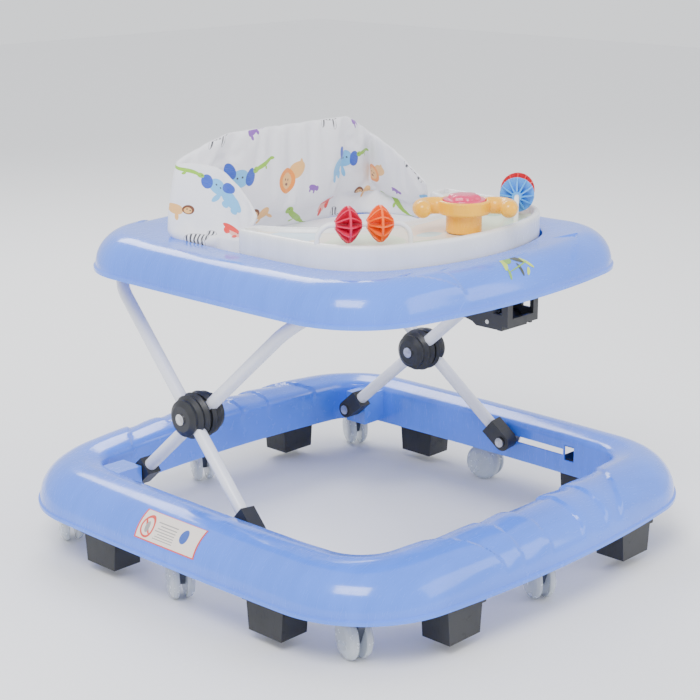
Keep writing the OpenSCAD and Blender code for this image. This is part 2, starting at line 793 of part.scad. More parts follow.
module toy_arch() {
    half = arch_span / 2;
    top = bar_top_z;
    place_arch()
        both_sides() {
            translate([half, 0, floor_z - tray_wall - 3]) cylinder(r = rod_r, h = top - arch_bend - floor_z + tray_wall + 3);
            translate([half - arch_bend, 0, top - arch_bend]) rotate([90, 0, 0])
                rotate_extrude(angle = 90) translate([arch_bend, 0]) circle(rod_r);
            translate([0, 0, top]) x_rod(0, half - arch_bend, rod_r);
        }
}

module toy_arch_right() color("white") mirror([1, 0, 0]) toy_arch();
module toy_arch_left() color("white") toy_arch();

// A lens-shaped spinner of twelve ribs on a hub, lying along X
spinner_ribs = 12;

module spinner() {
    r = spinner_d / 2;
    h = spinner_l / 2;
    difference() {
        union() {
            x_rod(-h, h, 6);
            x_rod(-1.2, 1.2, r);
            for (k = [0:spinner_ribs - 1])
                rotate([k * 360 / spinner_ribs, 0, 0])
                    translate([0, -0.9, 0]) rotate([90, 0, 0]) translate([0, 0, -1.8])
                        linear_extrude(1.8)
                            polygon([[-h + 1, 3.5], [h - 1, 3.5], [h - 1, 7], [h / 2, r * 0.78], [2.4, r], [-2.4, r],
                                     [-h / 2, r * 0.78], [-h + 1, 7]]);
        }
        x_rod(-h - 1, h + 1, rod_r + fit);
    }
}

module place_spinner(side, at) {
    mirror([side, 0, 0]) place_arch() translate([at, 0, bar_top_z]) spinner();
}

module spinner_magenta() color("mediumvioletred") place_spinner(1, spinner_at);
module spinner_orange() color("darkorange") place_spinner(1, -spinner_at);
module spinner_blue() color("deepskyblue") place_spinner(0, -spinner_at);
module spinner_red() color("crimson") place_spinner(0, spinner_at);

// ---- Steering wheel ----

module horn_handle() {
    translate([33, -18, 0]) {
        rotate_extrude(angle = 145, start = -25) translate([18, 0]) circle(10);
        rotate([0, 0, -25]) translate([18, 0, 0]) sphere(10.3);
    }
}

module steering_wheel() color("gold")
    translate([0, column_y, 0]) difference() {
        union() {
            translate([0, 0, floor_z + 0.8]) cylinder(r = column_d / 2, h = wheel_z - 9 - floor_z - 0.8);
            translate([0, 0, wheel_z - 9]) cylinder(r = 31, h = 16);
            rotate([0, 0, wheel_turn]) translate([0, 0, wheel_z]) both_sides() horn_handle();
        }
        translate([0, 0, floor_z - 1]) cylinder(r = post_r + fit, h = 27.5);
        translate([0, 0, wheel_z - horn_travel]) cylinder(r = horn_r + 0.6, h = 20);
        translate([0, 0, button_spring_z]) cylinder(r = spring_r + 2, h = 6);
    }

module horn_button() color("hotpink")
    translate([0, column_y, 0]) difference() {
        union() {
            translate([0, 0, wheel_z + 1]) cylinder(r = horn_r, h = 7);
            translate([0, 0, wheel_z + 8]) cylinder(r = 18, h = 5.5);
        }
        translate([0, 0, wheel_z]) cylinder(r = spring_r + 2, h = 6);
    }

module button_spring() color("silver")
    translate([0, column_y, button_spring_z + spring_wire])
        for (k = [0:3])
            translate([0, 0, k * 2.8]) rotate_extrude() translate([spring_r, 0]) circle(spring_wire);

// ---- Seat ----

// The back leans forward as it rises, and its top corners are cut off
module back_panel() {
    slope = (seat_top_z - ledge_z) / cos(back_lean);
    foot = seat_t * tan(back_lean) + 0.2;
    corner = slope - 27;
    translate([0, seat_rear_y, ledge_z]) rotate([back_lean, 0, 0]) rotate([90, 0, 0])
        linear_extrude(seat_t)
            polygon([[-seat_hw, foot], [seat_hw, foot], [seat_hw, corner], [seat_hw - 69, slope],
                     [69 - seat_hw, slope], [-seat_hw, corner]]);
}

// A wing falls from the back panel to the end of the tray, with a foot that stands on the ledge
module wing() {
    back_y = seat_rear_y - (wing_top_z - ledge_z) * tan(back_lean);
    rotate([90, 0, 90]) translate([0, 0, seat_hw - seat_t])
        linear_extrude(seat_t)
            polygon([[wing_end_y, ledge_z], [wing_end_y, wing_low_z], [wing_end_y + 24, wing_low_z + 5],
                     [back_y - 34, wing_top_z - 25], [back_y - 10, wing_top_z], [seat_rear_y - 2, ledge_z]]);
    translate([seat_hw - 1, wing_end_y + 8, ledge_z]) cube([13, 68, 10]);
}

module seat_back() color("ghostwhite") {
    back_panel();
    both_sides() wing();
}

module sling_plan(t) {
    hw = sling_hw - t;
    r = 60 - t;
    y0 = sling_front_y + t;
    y1 = seat_rear_y - seat_t + 2 - t;
    polygon(concat(arc([hw - r, y1 - r], r, 0, 90, 6), arc([r - hw, y1 - r], r, 90, 180, 6),
                   arc([r - hw, y0 + r], r, 180, 270, 6), arc([hw - r, y0 + r], r, 270, 360, 6)));
}

// A band round the opening and a panel between the legs; the gaps beside it are the leg holes
module seat_sling() color("ghostwhite") {
    y0 = sling_front_y;
    y1 = seat_rear_y - seat_t + 2;
    mid = (y0 + y1) / 2;
    half = (y1 - y0) / 2;
    depth = sling_top_z - sling_band - sling_bottom_z;
    translate([0, 0, sling_top_z - sling_band]) linear_extrude(sling_band)
        difference() {
            sling_plan(0);
            sling_plan(sling_t);
        }
    rotate([90, 0, 90]) translate([mid, sling_top_z - sling_band + 6, -crotch_w / 2])
        linear_extrude(crotch_w)
            polygon(concat([for (i = [0:12]) let (a = 180 + 15 * i) [half * cos(a), (depth + 6) * sin(a)]],
                           [for (i = [12:-1:0]) let (a = 180 + 15 * i) [(half - sling_t) * cos(a), (depth + 6 - sling_t) * sin(a)]]));
}

// Blocks that hold the sling to the skirt of the ledge and to the bosses under the tray
module seat_hooks() color("white")
    both_sides() {
        translate([sling_hw, open_y - 6, sling_top_z - 14]) cube([open_hw - ledge_w - sling_hw - 0.05, 12, 10]);
        translate([hook_x - 15, sling_front_y - 10, sling_top_z - 12]) cube([30, 10, ledge_z - sling_top_z + 12]);
    }

// ---- Casters ----

// Frame of one caster: the swivel axis is Z, the axle lies along its own Y, and the wheel trails towards +X
module place_caster(k) {
    translate([caster_at[k].x, caster_at[k].y, 0]) rotate([0, 0, caster_yaw[k]]) children();
}

module caster_fork(k) color("#333338")
    place_caster(k) {
        difference() {
            union() {
                rotate([90, 0, 0]) translate([0, 0, -fork_t / 2]) linear_extrude(fork_t)
                    polygon([[-8, base_lip_z - 6], [-6, 42], [trail - 8, wheel_d / 2 - 6], [trail, wheel_d / 2 - 9],
                             [trail + 8, wheel_d / 2 - 5], [trail + 12, 44], [9, base_lip_z - 6]]);
                translate([0, 0, wheel_d + 1.5]) cylinder(r = 11, h = base_lip_z + 1.7 - wheel_d - 1.5);
                translate([0, 0, wheel_d]) cylinder(r = stem_d / 2, h = stem_top_z - wheel_d - 1);
            }
            translate([trail, 0, wheel_d / 2]) rotate([90, 0, 0]) cylinder(r = axle_r + fit, h = fork_t + 2, center = true);
        }
    }

module caster_wheels(k) color("lightcyan")
    place_caster(k)
        translate([trail, 0, wheel_d / 2]) {
            rotate([90, 0, 0]) cylinder(r = axle_r, h = fork_t + 8, center = true);
            for (s = [0, 1]) mirror([0, s, 0])
                translate([0, fork_t / 2 + play, 0]) rotate([-90, 0, 0])
                    rotate_extrude()
                        polygon(concat([[0, 0]], [[wheel_d / 2 - 1, 0], [wheel_d / 2, 1], [wheel_d / 2, disc_t * 0.35]],
                                       [[wheel_d / 2 - 1.6, disc_t * 0.65], [wheel_d / 2 - 5, disc_t * 0.88],
                                        [wheel_d / 2 - 11, disc_t], [0, disc_t]]));
        }

caster_names = [for (k = [1:len(caster_at)]) for (part = ["caster_fork_", "caster_wheels_"]) str(part, k)];

base_ring();
warning_label();
rear_foot_pins();
stoppers_front();
stoppers_rear();
stoppers_right();
stoppers_left();
inner_tube();
rear_foot_caps();
hub_inner_right();
hub_inner_left();
outer_tube();
slide_foot_caps();
slide_pins();
hub_outer_right();
hub_outer_left();
hub_rivets();
upper_ring();
play_tray();
tray_print();
adjuster_bracket();
rear_clip_right();
rear_clip_left();
fixing_screws();
release_lever();
lever_pin();
lever_spring();
front_decal();
toy_arch_right();
toy_arch_left();
spinner_magenta();
spinner_orange();
spinner_blue();
spinner_red();
steering_wheel();
horn_button();
button_spring();
seat_back();
seat_sling();
seat_hooks();
for (k = [1:len(caster_at)]) {
    caster_fork(k - 1);
    caster_wheels(k - 1);
}
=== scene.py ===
# %% [markdown]
# # A baby walker in Blender
#
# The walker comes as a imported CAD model: rings, tubes, hubs, casters and toys at their true sizes, each on
# the body that it moves with. This lesson gives it its looks. Parts whose CAD shape is right keep it and get
# a finish. The two big blue mouldings, the tray, the wheel and the seat are built again with softer shapes.

# %% Load the frame
import json
import math

import bmesh
import bpy
import numpy as np
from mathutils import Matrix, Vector
from mathutils.geometry import tessellate_polygon


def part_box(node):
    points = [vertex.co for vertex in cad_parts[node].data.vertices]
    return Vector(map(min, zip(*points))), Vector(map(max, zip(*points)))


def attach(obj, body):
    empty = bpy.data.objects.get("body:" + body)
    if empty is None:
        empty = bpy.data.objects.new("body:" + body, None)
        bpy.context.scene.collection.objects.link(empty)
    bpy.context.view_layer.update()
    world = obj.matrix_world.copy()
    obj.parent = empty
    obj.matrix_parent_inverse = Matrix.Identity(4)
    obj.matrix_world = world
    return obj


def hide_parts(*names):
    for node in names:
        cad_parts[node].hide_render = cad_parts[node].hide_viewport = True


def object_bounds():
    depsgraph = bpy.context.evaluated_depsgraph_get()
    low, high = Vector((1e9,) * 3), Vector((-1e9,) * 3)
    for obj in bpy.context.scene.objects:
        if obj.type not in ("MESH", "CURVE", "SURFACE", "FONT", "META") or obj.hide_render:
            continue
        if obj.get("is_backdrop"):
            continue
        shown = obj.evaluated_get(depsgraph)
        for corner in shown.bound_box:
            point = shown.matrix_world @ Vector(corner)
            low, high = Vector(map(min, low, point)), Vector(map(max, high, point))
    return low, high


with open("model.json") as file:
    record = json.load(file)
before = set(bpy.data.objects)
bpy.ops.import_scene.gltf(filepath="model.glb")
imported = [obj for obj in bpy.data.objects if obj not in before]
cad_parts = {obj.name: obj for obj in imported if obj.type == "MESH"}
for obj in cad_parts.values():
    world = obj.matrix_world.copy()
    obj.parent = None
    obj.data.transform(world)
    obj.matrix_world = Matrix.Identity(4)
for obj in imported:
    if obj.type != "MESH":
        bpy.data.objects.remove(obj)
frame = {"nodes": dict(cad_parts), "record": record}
cad_box = [list(corner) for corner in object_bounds()]
nodes = frame["nodes"]
MM = 0.001
print(f"{len(nodes)} CAD nodes, box {np.round(cad_box, 3).tolist()}")


# %% [markdown]
# ## The camera first
#
# The view is three-quarter, a little above the rings, through a long lens, so that the far side is hardly
# smaller than the near one. The camera is placed by a compass angle and a height angle round an aim point,
# because those are easier to judge than coordinates.

# %% Camera
AZIMUTH, ELEVATION = math.radians(-46.66), math.radians(16.18)
AIM = Vector((0, 0, 0.2276))
DISTANCE = 2.1204

towards_camera = Vector((math.sin(AZIMUTH) * math.cos(ELEVATION),
                         -math.cos(AZIMUTH) * math.cos(ELEVATION),
                         math.sin(ELEVATION)))
lens = bpy.data.cameras.new("view")
lens.lens = 86.45
lens.shift_x = -0.0122
lens.shift_y = 0.0251
camera = bpy.data.objects.new("view", lens)
bpy.context.scene.collection.objects.link(camera)
camera.location = AIM + towards_camera * DISTANCE
camera.rotation_euler = towards_camera.to_track_quat("Z", "Y").to_euler()
bpy.context.scene.camera = camera
print(f"camera {DISTANCE:.2f} m away, {math.degrees(ELEVATION):.0f} degrees above the horizon")


# %% [markdown]
# ## One class for all shader maths
#
# A material is a formula: mask times colour, plus noise. Written as nodes and links it takes ten lines for
# every sum, so a small class wraps a socket and lets Python's own operators add the Math nodes. Every other
# node comes from one method, which sets the node's own settings first and then its sockets.

# %% Socket class
class Shade:
    """An output socket of a material. Sums on it add Math nodes, and node() adds any other node."""

    def __init__(self, tree, socket=None):
        self.tree = tree
        self.socket = socket

    def node(self, kind, settings=None, inputs=None, out=0):
        made = self.tree.nodes.new(kind)
        for name, value in (settings or {}).items():
            if name == "stops":
                ramp = made.color_ramp.elements
                while len(ramp) < len(value):
                    ramp.new(0.5)
                for stop, (position, colour) in zip(ramp, value):
                    stop.position = position
                    stop.color = (*colour, 1)
            else:
                setattr(made, name, value)
        for name, value in (inputs or {}).items():
            socket = made.inputs[name]
            if isinstance(value, Shade):
                self.tree.links.new(value.socket, socket)
            elif socket.type == "RGBA" and len(value) == 3:
                socket.default_value = (*value, 1)
            else:
                socket.default_value = value
        return Shade(self.tree, made.outputs[out]) if len(made.outputs) else None

    def maths(self, operation, *values):
        return self.node("ShaderNodeMath", {"operation": operation}, dict(enumerate(values)))

    def __add__(self, other):
        return self.maths("ADD", self, other)

    __radd__ = __add__

    def __mul__(self, other):
        return self.maths("MULTIPLY", self, other)

    __rmul__ = __mul__

    def __sub__(self, other):
        return self.maths("SUBTRACT", self, other)

    def __rsub__(self, other):
        return self.maths("SUBTRACT", other, self)

    def __truediv__(self, other):
        return self.maths("DIVIDE", self, other)

    def __gt__(self, other):
        return self.maths("GREATER_THAN", self, other)

    def __lt__(self, other):
        return self.maths("LESS_THAN", self, other)


def fade(value, low, high, at_low=0.0, at_high=1.0):
    """at_low below low, at_high above high, and a smooth change between them."""
    return value.node("ShaderNodeMapRange", {"interpolation_type": "SMOOTHSTEP"},
                      {"Value": value, "From Min": low, "From Max": high, "To Min": at_low, "To Max": at_high})


def mix(share, first, second):
    """The first colour where share is 0, and the second where it is 1."""
    return share.node("ShaderNodeMix", {"data_type": "RGBA"}, {0: share, 6: first, 7: second}, out=2)


print("Shade wraps sockets; fade() and mix() are the two helpers that every finish uses")


# %% [markdown]
# A finish always ends in the same two nodes, a Principled shader and an output. `material` makes them, and
# hands the recipe a place to start from. Numbers that are the same all over go straight onto the shader.

# %% Starting and closing a material
def material(name):
    made = bpy.data.materials.new(name)
    made.use_nodes = True
    made.node_tree.nodes.clear()
    return made, Shade(made.node_tree)


def close(made, start, colour, roughness, height=None, bump=0.1, reach=MM, **constants):
    """Ends a material. height is a bump in units of reach, which is in metres."""
    inputs = {"Base Color": colour, "Roughness": roughness}
    inputs.update({name.replace("_", " "): value for name, value in constants.items()})
    if height is not None:
        inputs["Normal"] = start.node("ShaderNodeBump", None,
                                      {"Height": height, "Strength": bump, "Distance": reach})
    shader = start.node("ShaderNodeBsdfPrincipled", None, inputs)
    start.node("ShaderNodeOutputMaterial", None, {"Surface": shader})
    return made


def place(start):
    """Coordinates on the object, in metres."""
    return start.node("ShaderNodeTexCoord", None, None, out="Object")


def noise(start, at, scale, detail=3.0, rough=0.5):
    return start.node("ShaderNodeTexNoise", None,
                      {"Vector": at, "Scale": scale, "Detail": detail, "Roughness": rough}, out="Fac")


def stretched(start, at, scale):
    """The same coordinates, stretched along each axis."""
    return start.node("ShaderNodeMapping", None, {"Vector": at, "Scale": scale})


def worn_edges(start):
    """1 along convex edges, where hands and furniture rub, and 0 elsewhere."""
    pointed = start.node("ShaderNodeNewGeometry", None, None, out="Pointiness")
    return fade(pointed, 0.53, 0.62)


print("material(), close() and four small sources: place, noise, stretched, worn_edges")


# %% [markdown]
# ## Moulded plastics
#
# Nearly every part is injection moulded. Such plastic is one colour all through, but never one flat tone: the
# melt leaves faint clouds and flow lines, polishing leaves a soft waviness, and use leaves fine scratches
# and paler edges. One recipe takes a colour and says how glossy, how grainy and how worn it is.

# %% Moulded plastic
def moulded(name, colour, gloss=0.22, wave=0.15, grain=0.0, wear=0.25, scratch=0.12, **constants):
    made, start = material(name)
    at = place(start)
    clouds = noise(start, at, 9, 4)
    flow = noise(start, stretched(start, at, (6, 40, 6)), 2.0, 4)
    light = tuple(min(1, c * 1.05 + 0.005) for c in colour)
    dark = tuple(c * 0.94 for c in colour)
    tone = mix(fade(clouds * 0.6 + flow * 0.4, 0.35, 0.65), dark, light)
    worn = tuple(min(1, c * 1.25 + 0.06) for c in colour)
    tone = mix(worn_edges(start) * wear, tone, worn)
    scratches = fade(noise(start, stretched(start, at, (30, 260, 30)), 3.0, 2), 0.60, 0.66)
    smudges = fade(noise(start, at, 24, 5), 0.45, 0.75)
    roughness = scratches * scratch + smudges * 0.08 + gloss
    height = noise(start, at, 55, 2) * wave + noise(start, at, 1400, 2) * grain + scratches * -0.03
    return close(made, start, tone, roughness, height, bump=0.35, reach=0.6 * MM, **constants)


BLUE = (0.065, 0.215, 0.93)
finishes = {
    "ring_blue": moulded("ring blue", BLUE, gloss=0.16, wave=0.10, Coat_Weight=0.35, Coat_Roughness=0.08),
    "black_plastic": moulded("black hub plastic", (0.012, 0.013, 0.016), gloss=0.42, grain=0.25, wear=0.15),
    "stopper_black": moulded("black stopper plastic", (0.010, 0.011, 0.013), gloss=0.5, grain=0.35, wear=0.2),
    "tray_white": moulded("white tray plastic", (0.80, 0.81, 0.83), gloss=0.2, wave=0.12, wear=0.1,
                          Subsurface_Weight=0.08, Subsurface_Radius=(0.01, 0.01, 0.01)),
    "arch_white": moulded("white rod plastic", (0.82, 0.83, 0.84), gloss=0.2, wear=0.1),
    "wheel_yellow": moulded("yellow wheel plastic", (0.95, 0.46, 0.012), gloss=0.2,
                            Subsurface_Weight=0.1, Subsurface_Radius=(0.01, 0.006, 0.002)),
    "horn_pink": moulded("pink button plastic", (0.72, 0.035, 0.14), gloss=0.16),
    "hook_white": moulded("white hook plastic", (0.7, 0.7, 0.72), gloss=0.35),
    "caster_fork": moulded("caster fork plastic", (0.035, 0.045, 0.075), gloss=0.35, grain=0.15),
}
for name, colour in {"magenta": (0.62, 0.008, 0.06), "orange": (0.95, 0.13, 0.004),
                     "blue": (0.05, 0.33, 0.82), "red": (0.62, 0.012, 0.012)}.items():
    finishes[f"spinner_{name}"] = moulded(f"{name} spinner plastic", colour, gloss=0.22,
                                          Subsurface_Weight=0.12, Subsurface_Radius=(0.008, 0.004, 0.004))
print(f"{len(finishes)} moulded finishes")


# %% [markdown]
# ## Tubes, pins and clear wheels
#
# The tubes are steel with a white powder coat, which cures into a fine orange peel. Pins, rivets and springs
# are bare steel, whose polishing runs along the part. The caster discs are cloudy clear plastic: light passes,
# but nothing sharp is seen through them.

# %% Metal and clear plastic
def powder_coat():
    made, start = material("white powder coat")
    at = place(start)
    peel = start.node("ShaderNodeTexVoronoi", {"feature": "SMOOTH_F1"}, {"Vector": at, "Scale": 900.0})
    dust = fade(noise(start, at, 60, 6), 0.5, 0.8)
    tone = mix(dust * 0.25, (0.80, 0.81, 0.86), (0.66, 0.67, 0.72))
    height = peel * 0.5 + noise(start, at, 260, 2) * 0.5
    return close(made, start, tone, dust * 0.1 + 0.24, height, bump=0.25, reach=0.2 * MM, Coat_Weight=0.2)


def bare_steel():
    made, start = material("bare steel")
    at = place(start)
    lines = noise(start, stretched(start, at, (12, 900, 900)), 1.0, 3)
    stain = fade(noise(start, at, 120, 4), 0.4, 0.7)
    tone = mix(stain, (0.62, 0.62, 0.63), (0.42, 0.42, 0.43))
    return close(made, start, tone, lines * 0.2 + 0.22, lines, bump=0.15, reach=0.1 * MM, Metallic=1.0)


def cloudy_clear():
    made, start = material("cloudy clear plastic")
    at = place(start)
    cloud = noise(start, at, 40, 2)
    scuffed = fade(noise(start, at, 160, 3), 0.5, 0.8)
    tone = mix(cloud, (0.74, 0.80, 0.85), (0.84, 0.88, 0.91))
    return close(made, start, tone, scuffed * 0.15 + 0.2, scuffed, bump=0.05, reach=0.1 * MM,
                 Transmission_Weight=0.45, IOR=1.45)


finishes["tube_white"] = powder_coat()
finishes["steel"] = bare_steel()
finishes["caster_clear"] = cloudy_clear()
print("powder coat, bare steel and cloudy clear plastic")


# %% [markdown]
# ## Printed things
#
# Four things are printed: the seat fabric, the floor of the tray, the sticker on the base and a small sticker
# on the upper ring. Prints are drawn from soft-edged ellipses. `Ink` keeps a colour that grows by one ellipse
# at a time, in metres on the surface, so an animal is a short list of centres, sizes and tilts.

# %% Drawing with ellipses
class Ink:
    """A colour that shapes are painted over, at a point (x, y) of the surface in metres."""

    def __init__(self, x, y, colour):
        self.x, self.y, self.colour = x, y, colour

    def ellipse(self, centre, size, colour, tilt=0.0, edge=0.05):
        c, s = math.cos(math.radians(tilt)), math.sin(math.radians(tilt))
        x, y = self.x - centre[0], self.y - centre[1]
        along = (x * c + y * s) / (size[0] / 2)
        across = (y * c - x * s) / (size[1] / 2)
        inside = fade(along * along + across * across, 1 - edge, 1 + edge, 1.0, 0.0)
        self.colour = mix(inside, self.colour, colour)
        return inside

    def bar(self, low, high, colour):
        inside = (self.x > low[0]) * (self.x < high[0]) * (self.y > low[1]) * (self.y < high[1])
        self.colour = mix(inside, self.colour, colour)
        return inside


print("Ink paints ellipses and bars")


# %% [markdown]
# The fabric is a white plain weave with small animals scattered over it in every direction. The cloth is cut
# into tiles, and each tile holds nine animals of one print run; the tile's coordinates wrap round, so one set
# of ellipses serves the whole seat. The animals are built of a body, a head, ears and legs each, and tilted.

# %% Animals
ORANGE, BROWN, SKY, NAVY = (0.90, 0.27, 0.02), (0.16, 0.045, 0.01), (0.15, 0.50, 0.86), (0.02, 0.08, 0.50)
GREEN, PURPLE, RED, TAN = (0.27, 0.55, 0.03), (0.24, 0.07, 0.44), (0.78, 0.03, 0.02), (0.88, 0.48, 0.15)
INK_BLACK, INK_GREY, PAPER = (0.05, 0.05, 0.06), (0.45, 0.45, 0.48), (0.86, 0.86, 0.90)

# each animal: ellipses as (x, y, length, width, tilt, colour) in millimetres round its own middle
ANIMALS = {
    "lion": [(6, 6, 20, 13, 40, TAN), (10, 12, 4, 9, 10, TAN), (-5, -4, 22, 22, 0, ORANGE),
             (-5, -4, 14, 14, 0, TAN), (-8, -3, 2, 2, 0, BROWN), (-3, -3, 2, 2, 0, BROWN),
             (-5.5, -7, 5, 2.4, 0, BROWN)],
    "elephant": [(-8, 0, 24, 18, 10, SKY), (9, 2, 20, 17, 0, SKY), (0, 11, 10, 17, 25, NAVY),
                 (21, 1, 11, 16, -25, NAVY), (6, -10, 5, 14, 15, SKY), (-14, -9, 7, 9, 0, SKY),
                 (-4, -10, 7, 8, 0, SKY), (7, 3, 2, 2, 0, INK_BLACK), (12, 3, 2, 2, 0, INK_BLACK)],
    "monkey": [(3, 0, 15, 10, 30, TAN), (-7, 4, 12, 11, 0, BROWN), (-7, 3, 8, 7, 0, TAN), (10, -6, 11, 3.4, -50, TAN),
               (-2, -8, 9, 3, 60, TAN), (-9, 4, 1.6, 1.6, 0, INK_BLACK), (-5.5, 4, 1.6, 1.6, 0, INK_BLACK)],
    "crocodile": [(0, 0, 44, 7, -38, GREEN), (-14, 11, 12, 9, -38, GREEN), (16, -13, 10, 5, -60, GREEN),
                  (-2, -6, 6, 4, 50, GREEN), (-15, 13, 2, 2, 0, INK_BLACK)],
    "bird": [(-3, -2, 20, 15, 60, (0.85, 0.40, 0.33)), (2, 6, 24, 9, 25, RED), (8, 0, 13, 7, 70, RED),
             (-3, -11, 5, 11, 12, RED), (-6, -1, 2, 2, 0, INK_BLACK)],
    "hippo": [(0, 0, 20, 10, 5, PURPLE), (10, 1, 8, 9, 0, PURPLE), (-6, -6, 4, 6, 0, PURPLE),
              (4, -6, 4, 6, 0, PURPLE)],
}


def draw(ink, animal, at, tilt, size=1.0):
    c, s = math.cos(math.radians(tilt)), math.sin(math.radians(tilt))
    for x, y, length, width, turn, colour in ANIMALS[animal]:
        centre = [at[0] + size * (x * c - y * s) * MM, at[1] + size * (x * s + y * c) * MM]
        ink.ellipse(centre, (size * length * MM, size * width * MM), colour, turn + tilt)


def draw_zebra(ink, at, tilt, size=1.0):
    """A pale body whose stripes are cut from a wave across it."""
    c, s = math.cos(math.radians(tilt)), math.sin(math.radians(tilt))
    for x, y, length, width, turn in [(0, 0, 26, 11, 5), (-14, 6, 11, 8, 40), (-8, -8, 4, 10, 0), (7, -8, 4, 10, 8)]:
        centre = [at[0] + size * (x * c - y * s) * MM, at[1] + size * (x * s + y * c) * MM]
        ink.ellipse(centre, ((size * length + 1.6) * MM, (size * width + 1.6) * MM), INK_GREY, turn + tilt)
        inside = ink.ellipse(centre, (size * length * MM, size * width * MM), PAPER, turn + tilt)
        wave = (ink.x * c + ink.y * s) * (math.tau / (5.6 * MM))
        stripes = wave.maths("SINE", wave)
        ink.colour = mix(inside * fade(stripes, 0.0, 0.3), ink.colour, INK_BLACK)


print(f"{len(ANIMALS) + 1} animals, {sum(len(a) for a in ANIMALS.values())} ellipses")

# %% Seat fabric
TILE = (0.204, 0.150)


def printed_cloth():
    made, start = material("printed seat cloth")
    uv = start.node("ShaderNodeUVMap", {"uv_map": "cloth"})
    parts = start.node("ShaderNodeSeparateXYZ", None, {"Vector": uv}, out="X")
    x, y = parts, Shade(parts.tree, parts.socket.node.outputs["Y"])
    row = (y / TILE[1]).maths("FLOOR", y / TILE[1])
    shifted = x + row * 0.047
    ink = Ink(shifted.maths("WRAP", shifted, TILE[0], 0.0), y.maths("WRAP", y, TILE[1], 0.0), PAPER)
    draw(ink, "elephant", (0.050, 0.108), 12, 1.35)
    draw(ink, "lion", (0.150, 0.108), -10, 1.4)
    draw(ink, "monkey", (0.102, 0.066), 20, 1.3)
    draw(ink, "crocodile", (0.170, 0.050), 0, 1.3)
    draw(ink, "bird", (0.026, 0.054), -15, 1.15)
    draw(ink, "hippo", (0.128, 0.020), 30, 1.15)
    draw_zebra(ink, (0.068, 0.026), -12, 1.35)
    draw(ink, "crocodile", (0.100, 0.128), 60, 0.8)
    draw(ink, "hippo", (0.188, 0.090), -20, 0.75)
    threads = 1500.0
    warp = (x * threads).maths("SINE", x * threads * 2.0)
    weft = (y * threads).maths("SINE", y * threads * 2.0)
    slub = noise(start, stretched(start, uv, (40, 400, 1)), 3.0, 3)
    crease = noise(start, stretched(start, uv, (1.0, 2.2, 1)), 16.0, 2)
    tone = mix(fade(slub, 0.35, 0.8) * 0.10, ink.colour, (0.62, 0.63, 0.70))
    height = warp * weft * 0.4 + slub * 0.5 + crease * 5.0
    return close(made, start, tone, slub * 0.1 + 0.78, height, bump=0.4, reach=0.35 * MM,
                 Sheen_Weight=0.25, Sheen_Roughness=0.5)


finishes["seat_fabric"] = printed_cloth()
print(f"seat cloth: one tile is {TILE[0] * 1000:.0f} by {TILE[1] * 1000:.0f} mm")


# %% [markdown]
# The floor of the tray carries a pastel landscape: hills, a pond, paths and leaves. The sticker on the base is
# a cream card with a red border, a red ring sign, a blue disc and rows of grey lines in place of words. The
# sticker on the upper ring is a spray of leaves, and the gaps between its leaves are clear.

# %% Tray print and stickers
def tray_picture():
    made, start = material("tray picture")
    at = place(start)
    x = start.node("ShaderNodeSeparateXYZ", None, {"Vector": at}, out="X")
    y = Shade(x.tree, x.socket.node.outputs["Y"])
    wobble = noise(start, at, 14, 2) * 0.03
    ink = Ink(x + wobble, y + wobble, (0.78, 0.70, 0.58))
    for cx, cy, length, width, tilt, colour in [
            (-120, -120, 130, 90, 20, (0.62, 0.74, 0.50)), (95, -150, 150, 80, -15, (0.70, 0.80, 0.55)),
            (-150, -30, 90, 60, 0, (0.52, 0.70, 0.84)), (150, -40, 90, 70, 10, (0.60, 0.76, 0.86)),
            (20, -110, 120, 46, 8, (0.84, 0.62, 0.46)), (-60, -170, 80, 34, -10, (0.50, 0.66, 0.42)),
            (130, -105, 44, 26, 30, (0.36, 0.56, 0.30)), (-20, -130, 36, 24, 0, (0.45, 0.68, 0.72)),
            (60, -185, 50, 18, 5, (0.80, 0.50, 0.34)), (-165, -90, 40, 22, 60, (0.38, 0.58, 0.34))]:
        ink.ellipse((cx * MM, cy * MM), (length * MM, width * MM), colour, tilt, edge=0.12)
    grain = noise(start, at, 420, 2)
    return close(made, start, mix(grain * 0.12, ink.colour, (0.9, 0.88, 0.84)), grain * 0.08 + 0.3, grain,
                 bump=0.1, reach=0.1 * MM, Coat_Weight=0.3)


def sticker(name, u_axis, colour, marks, clear=False):
    """A printed film. marks paints on the ink and returns what is covered, for a film with clear gaps."""
    made, start = material(name)
    at = place(start)
    u = start.node("ShaderNodeSeparateXYZ", None, {"Vector": at}, out=u_axis)
    ink = Ink(u, Shade(u.tree, u.socket.node.outputs["Z"]), colour)
    covered = marks(ink)
    grain = noise(start, at, 500, 2)
    extra = {"Alpha": covered} if clear else {}
    return close(made, start, mix(grain * 0.08, ink.colour, (0.5, 0.5, 0.5)), grain * 0.1 + 0.28, grain,
                 bump=0.1, reach=0.05 * MM, **extra)


def label_marks(ink):
    low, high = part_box("warning_label")
    w, bottom, top = 0.104, low.z, high.z
    rise = top - bottom
    red, grey, cream = (0.72, 0.05, 0.03), (0.33, 0.31, 0.30), (0.86, 0.78, 0.70)
    ink.bar((-w / 2 + 2 * MM, bottom + 2 * MM), (w / 2 - 2 * MM, top - 1 * MM), cream)
    for row in range(7):
        z = bottom + rise * (0.2 + 0.09 * row)
        ink.bar((-0.012, z), (0.022 - 0.003 * (row % 3), z + 0.9 * MM), grey)
    ink.ellipse((0.036, bottom + rise * 0.5), (0.022, 0.022), red)
    ink.ellipse((0.036, bottom + rise * 0.5), (0.017, 0.017), cream)
    ink.ellipse((0.036, bottom + rise * 0.5), (0.021, 0.003), red, 45)
    ink.ellipse((0.036, bottom + rise * 0.5), (0.007, 0.011), grey)
    ink.ellipse((-0.026, bottom + rise * 0.6), (0.013, 0.013), (0.03, 0.10, 0.45))


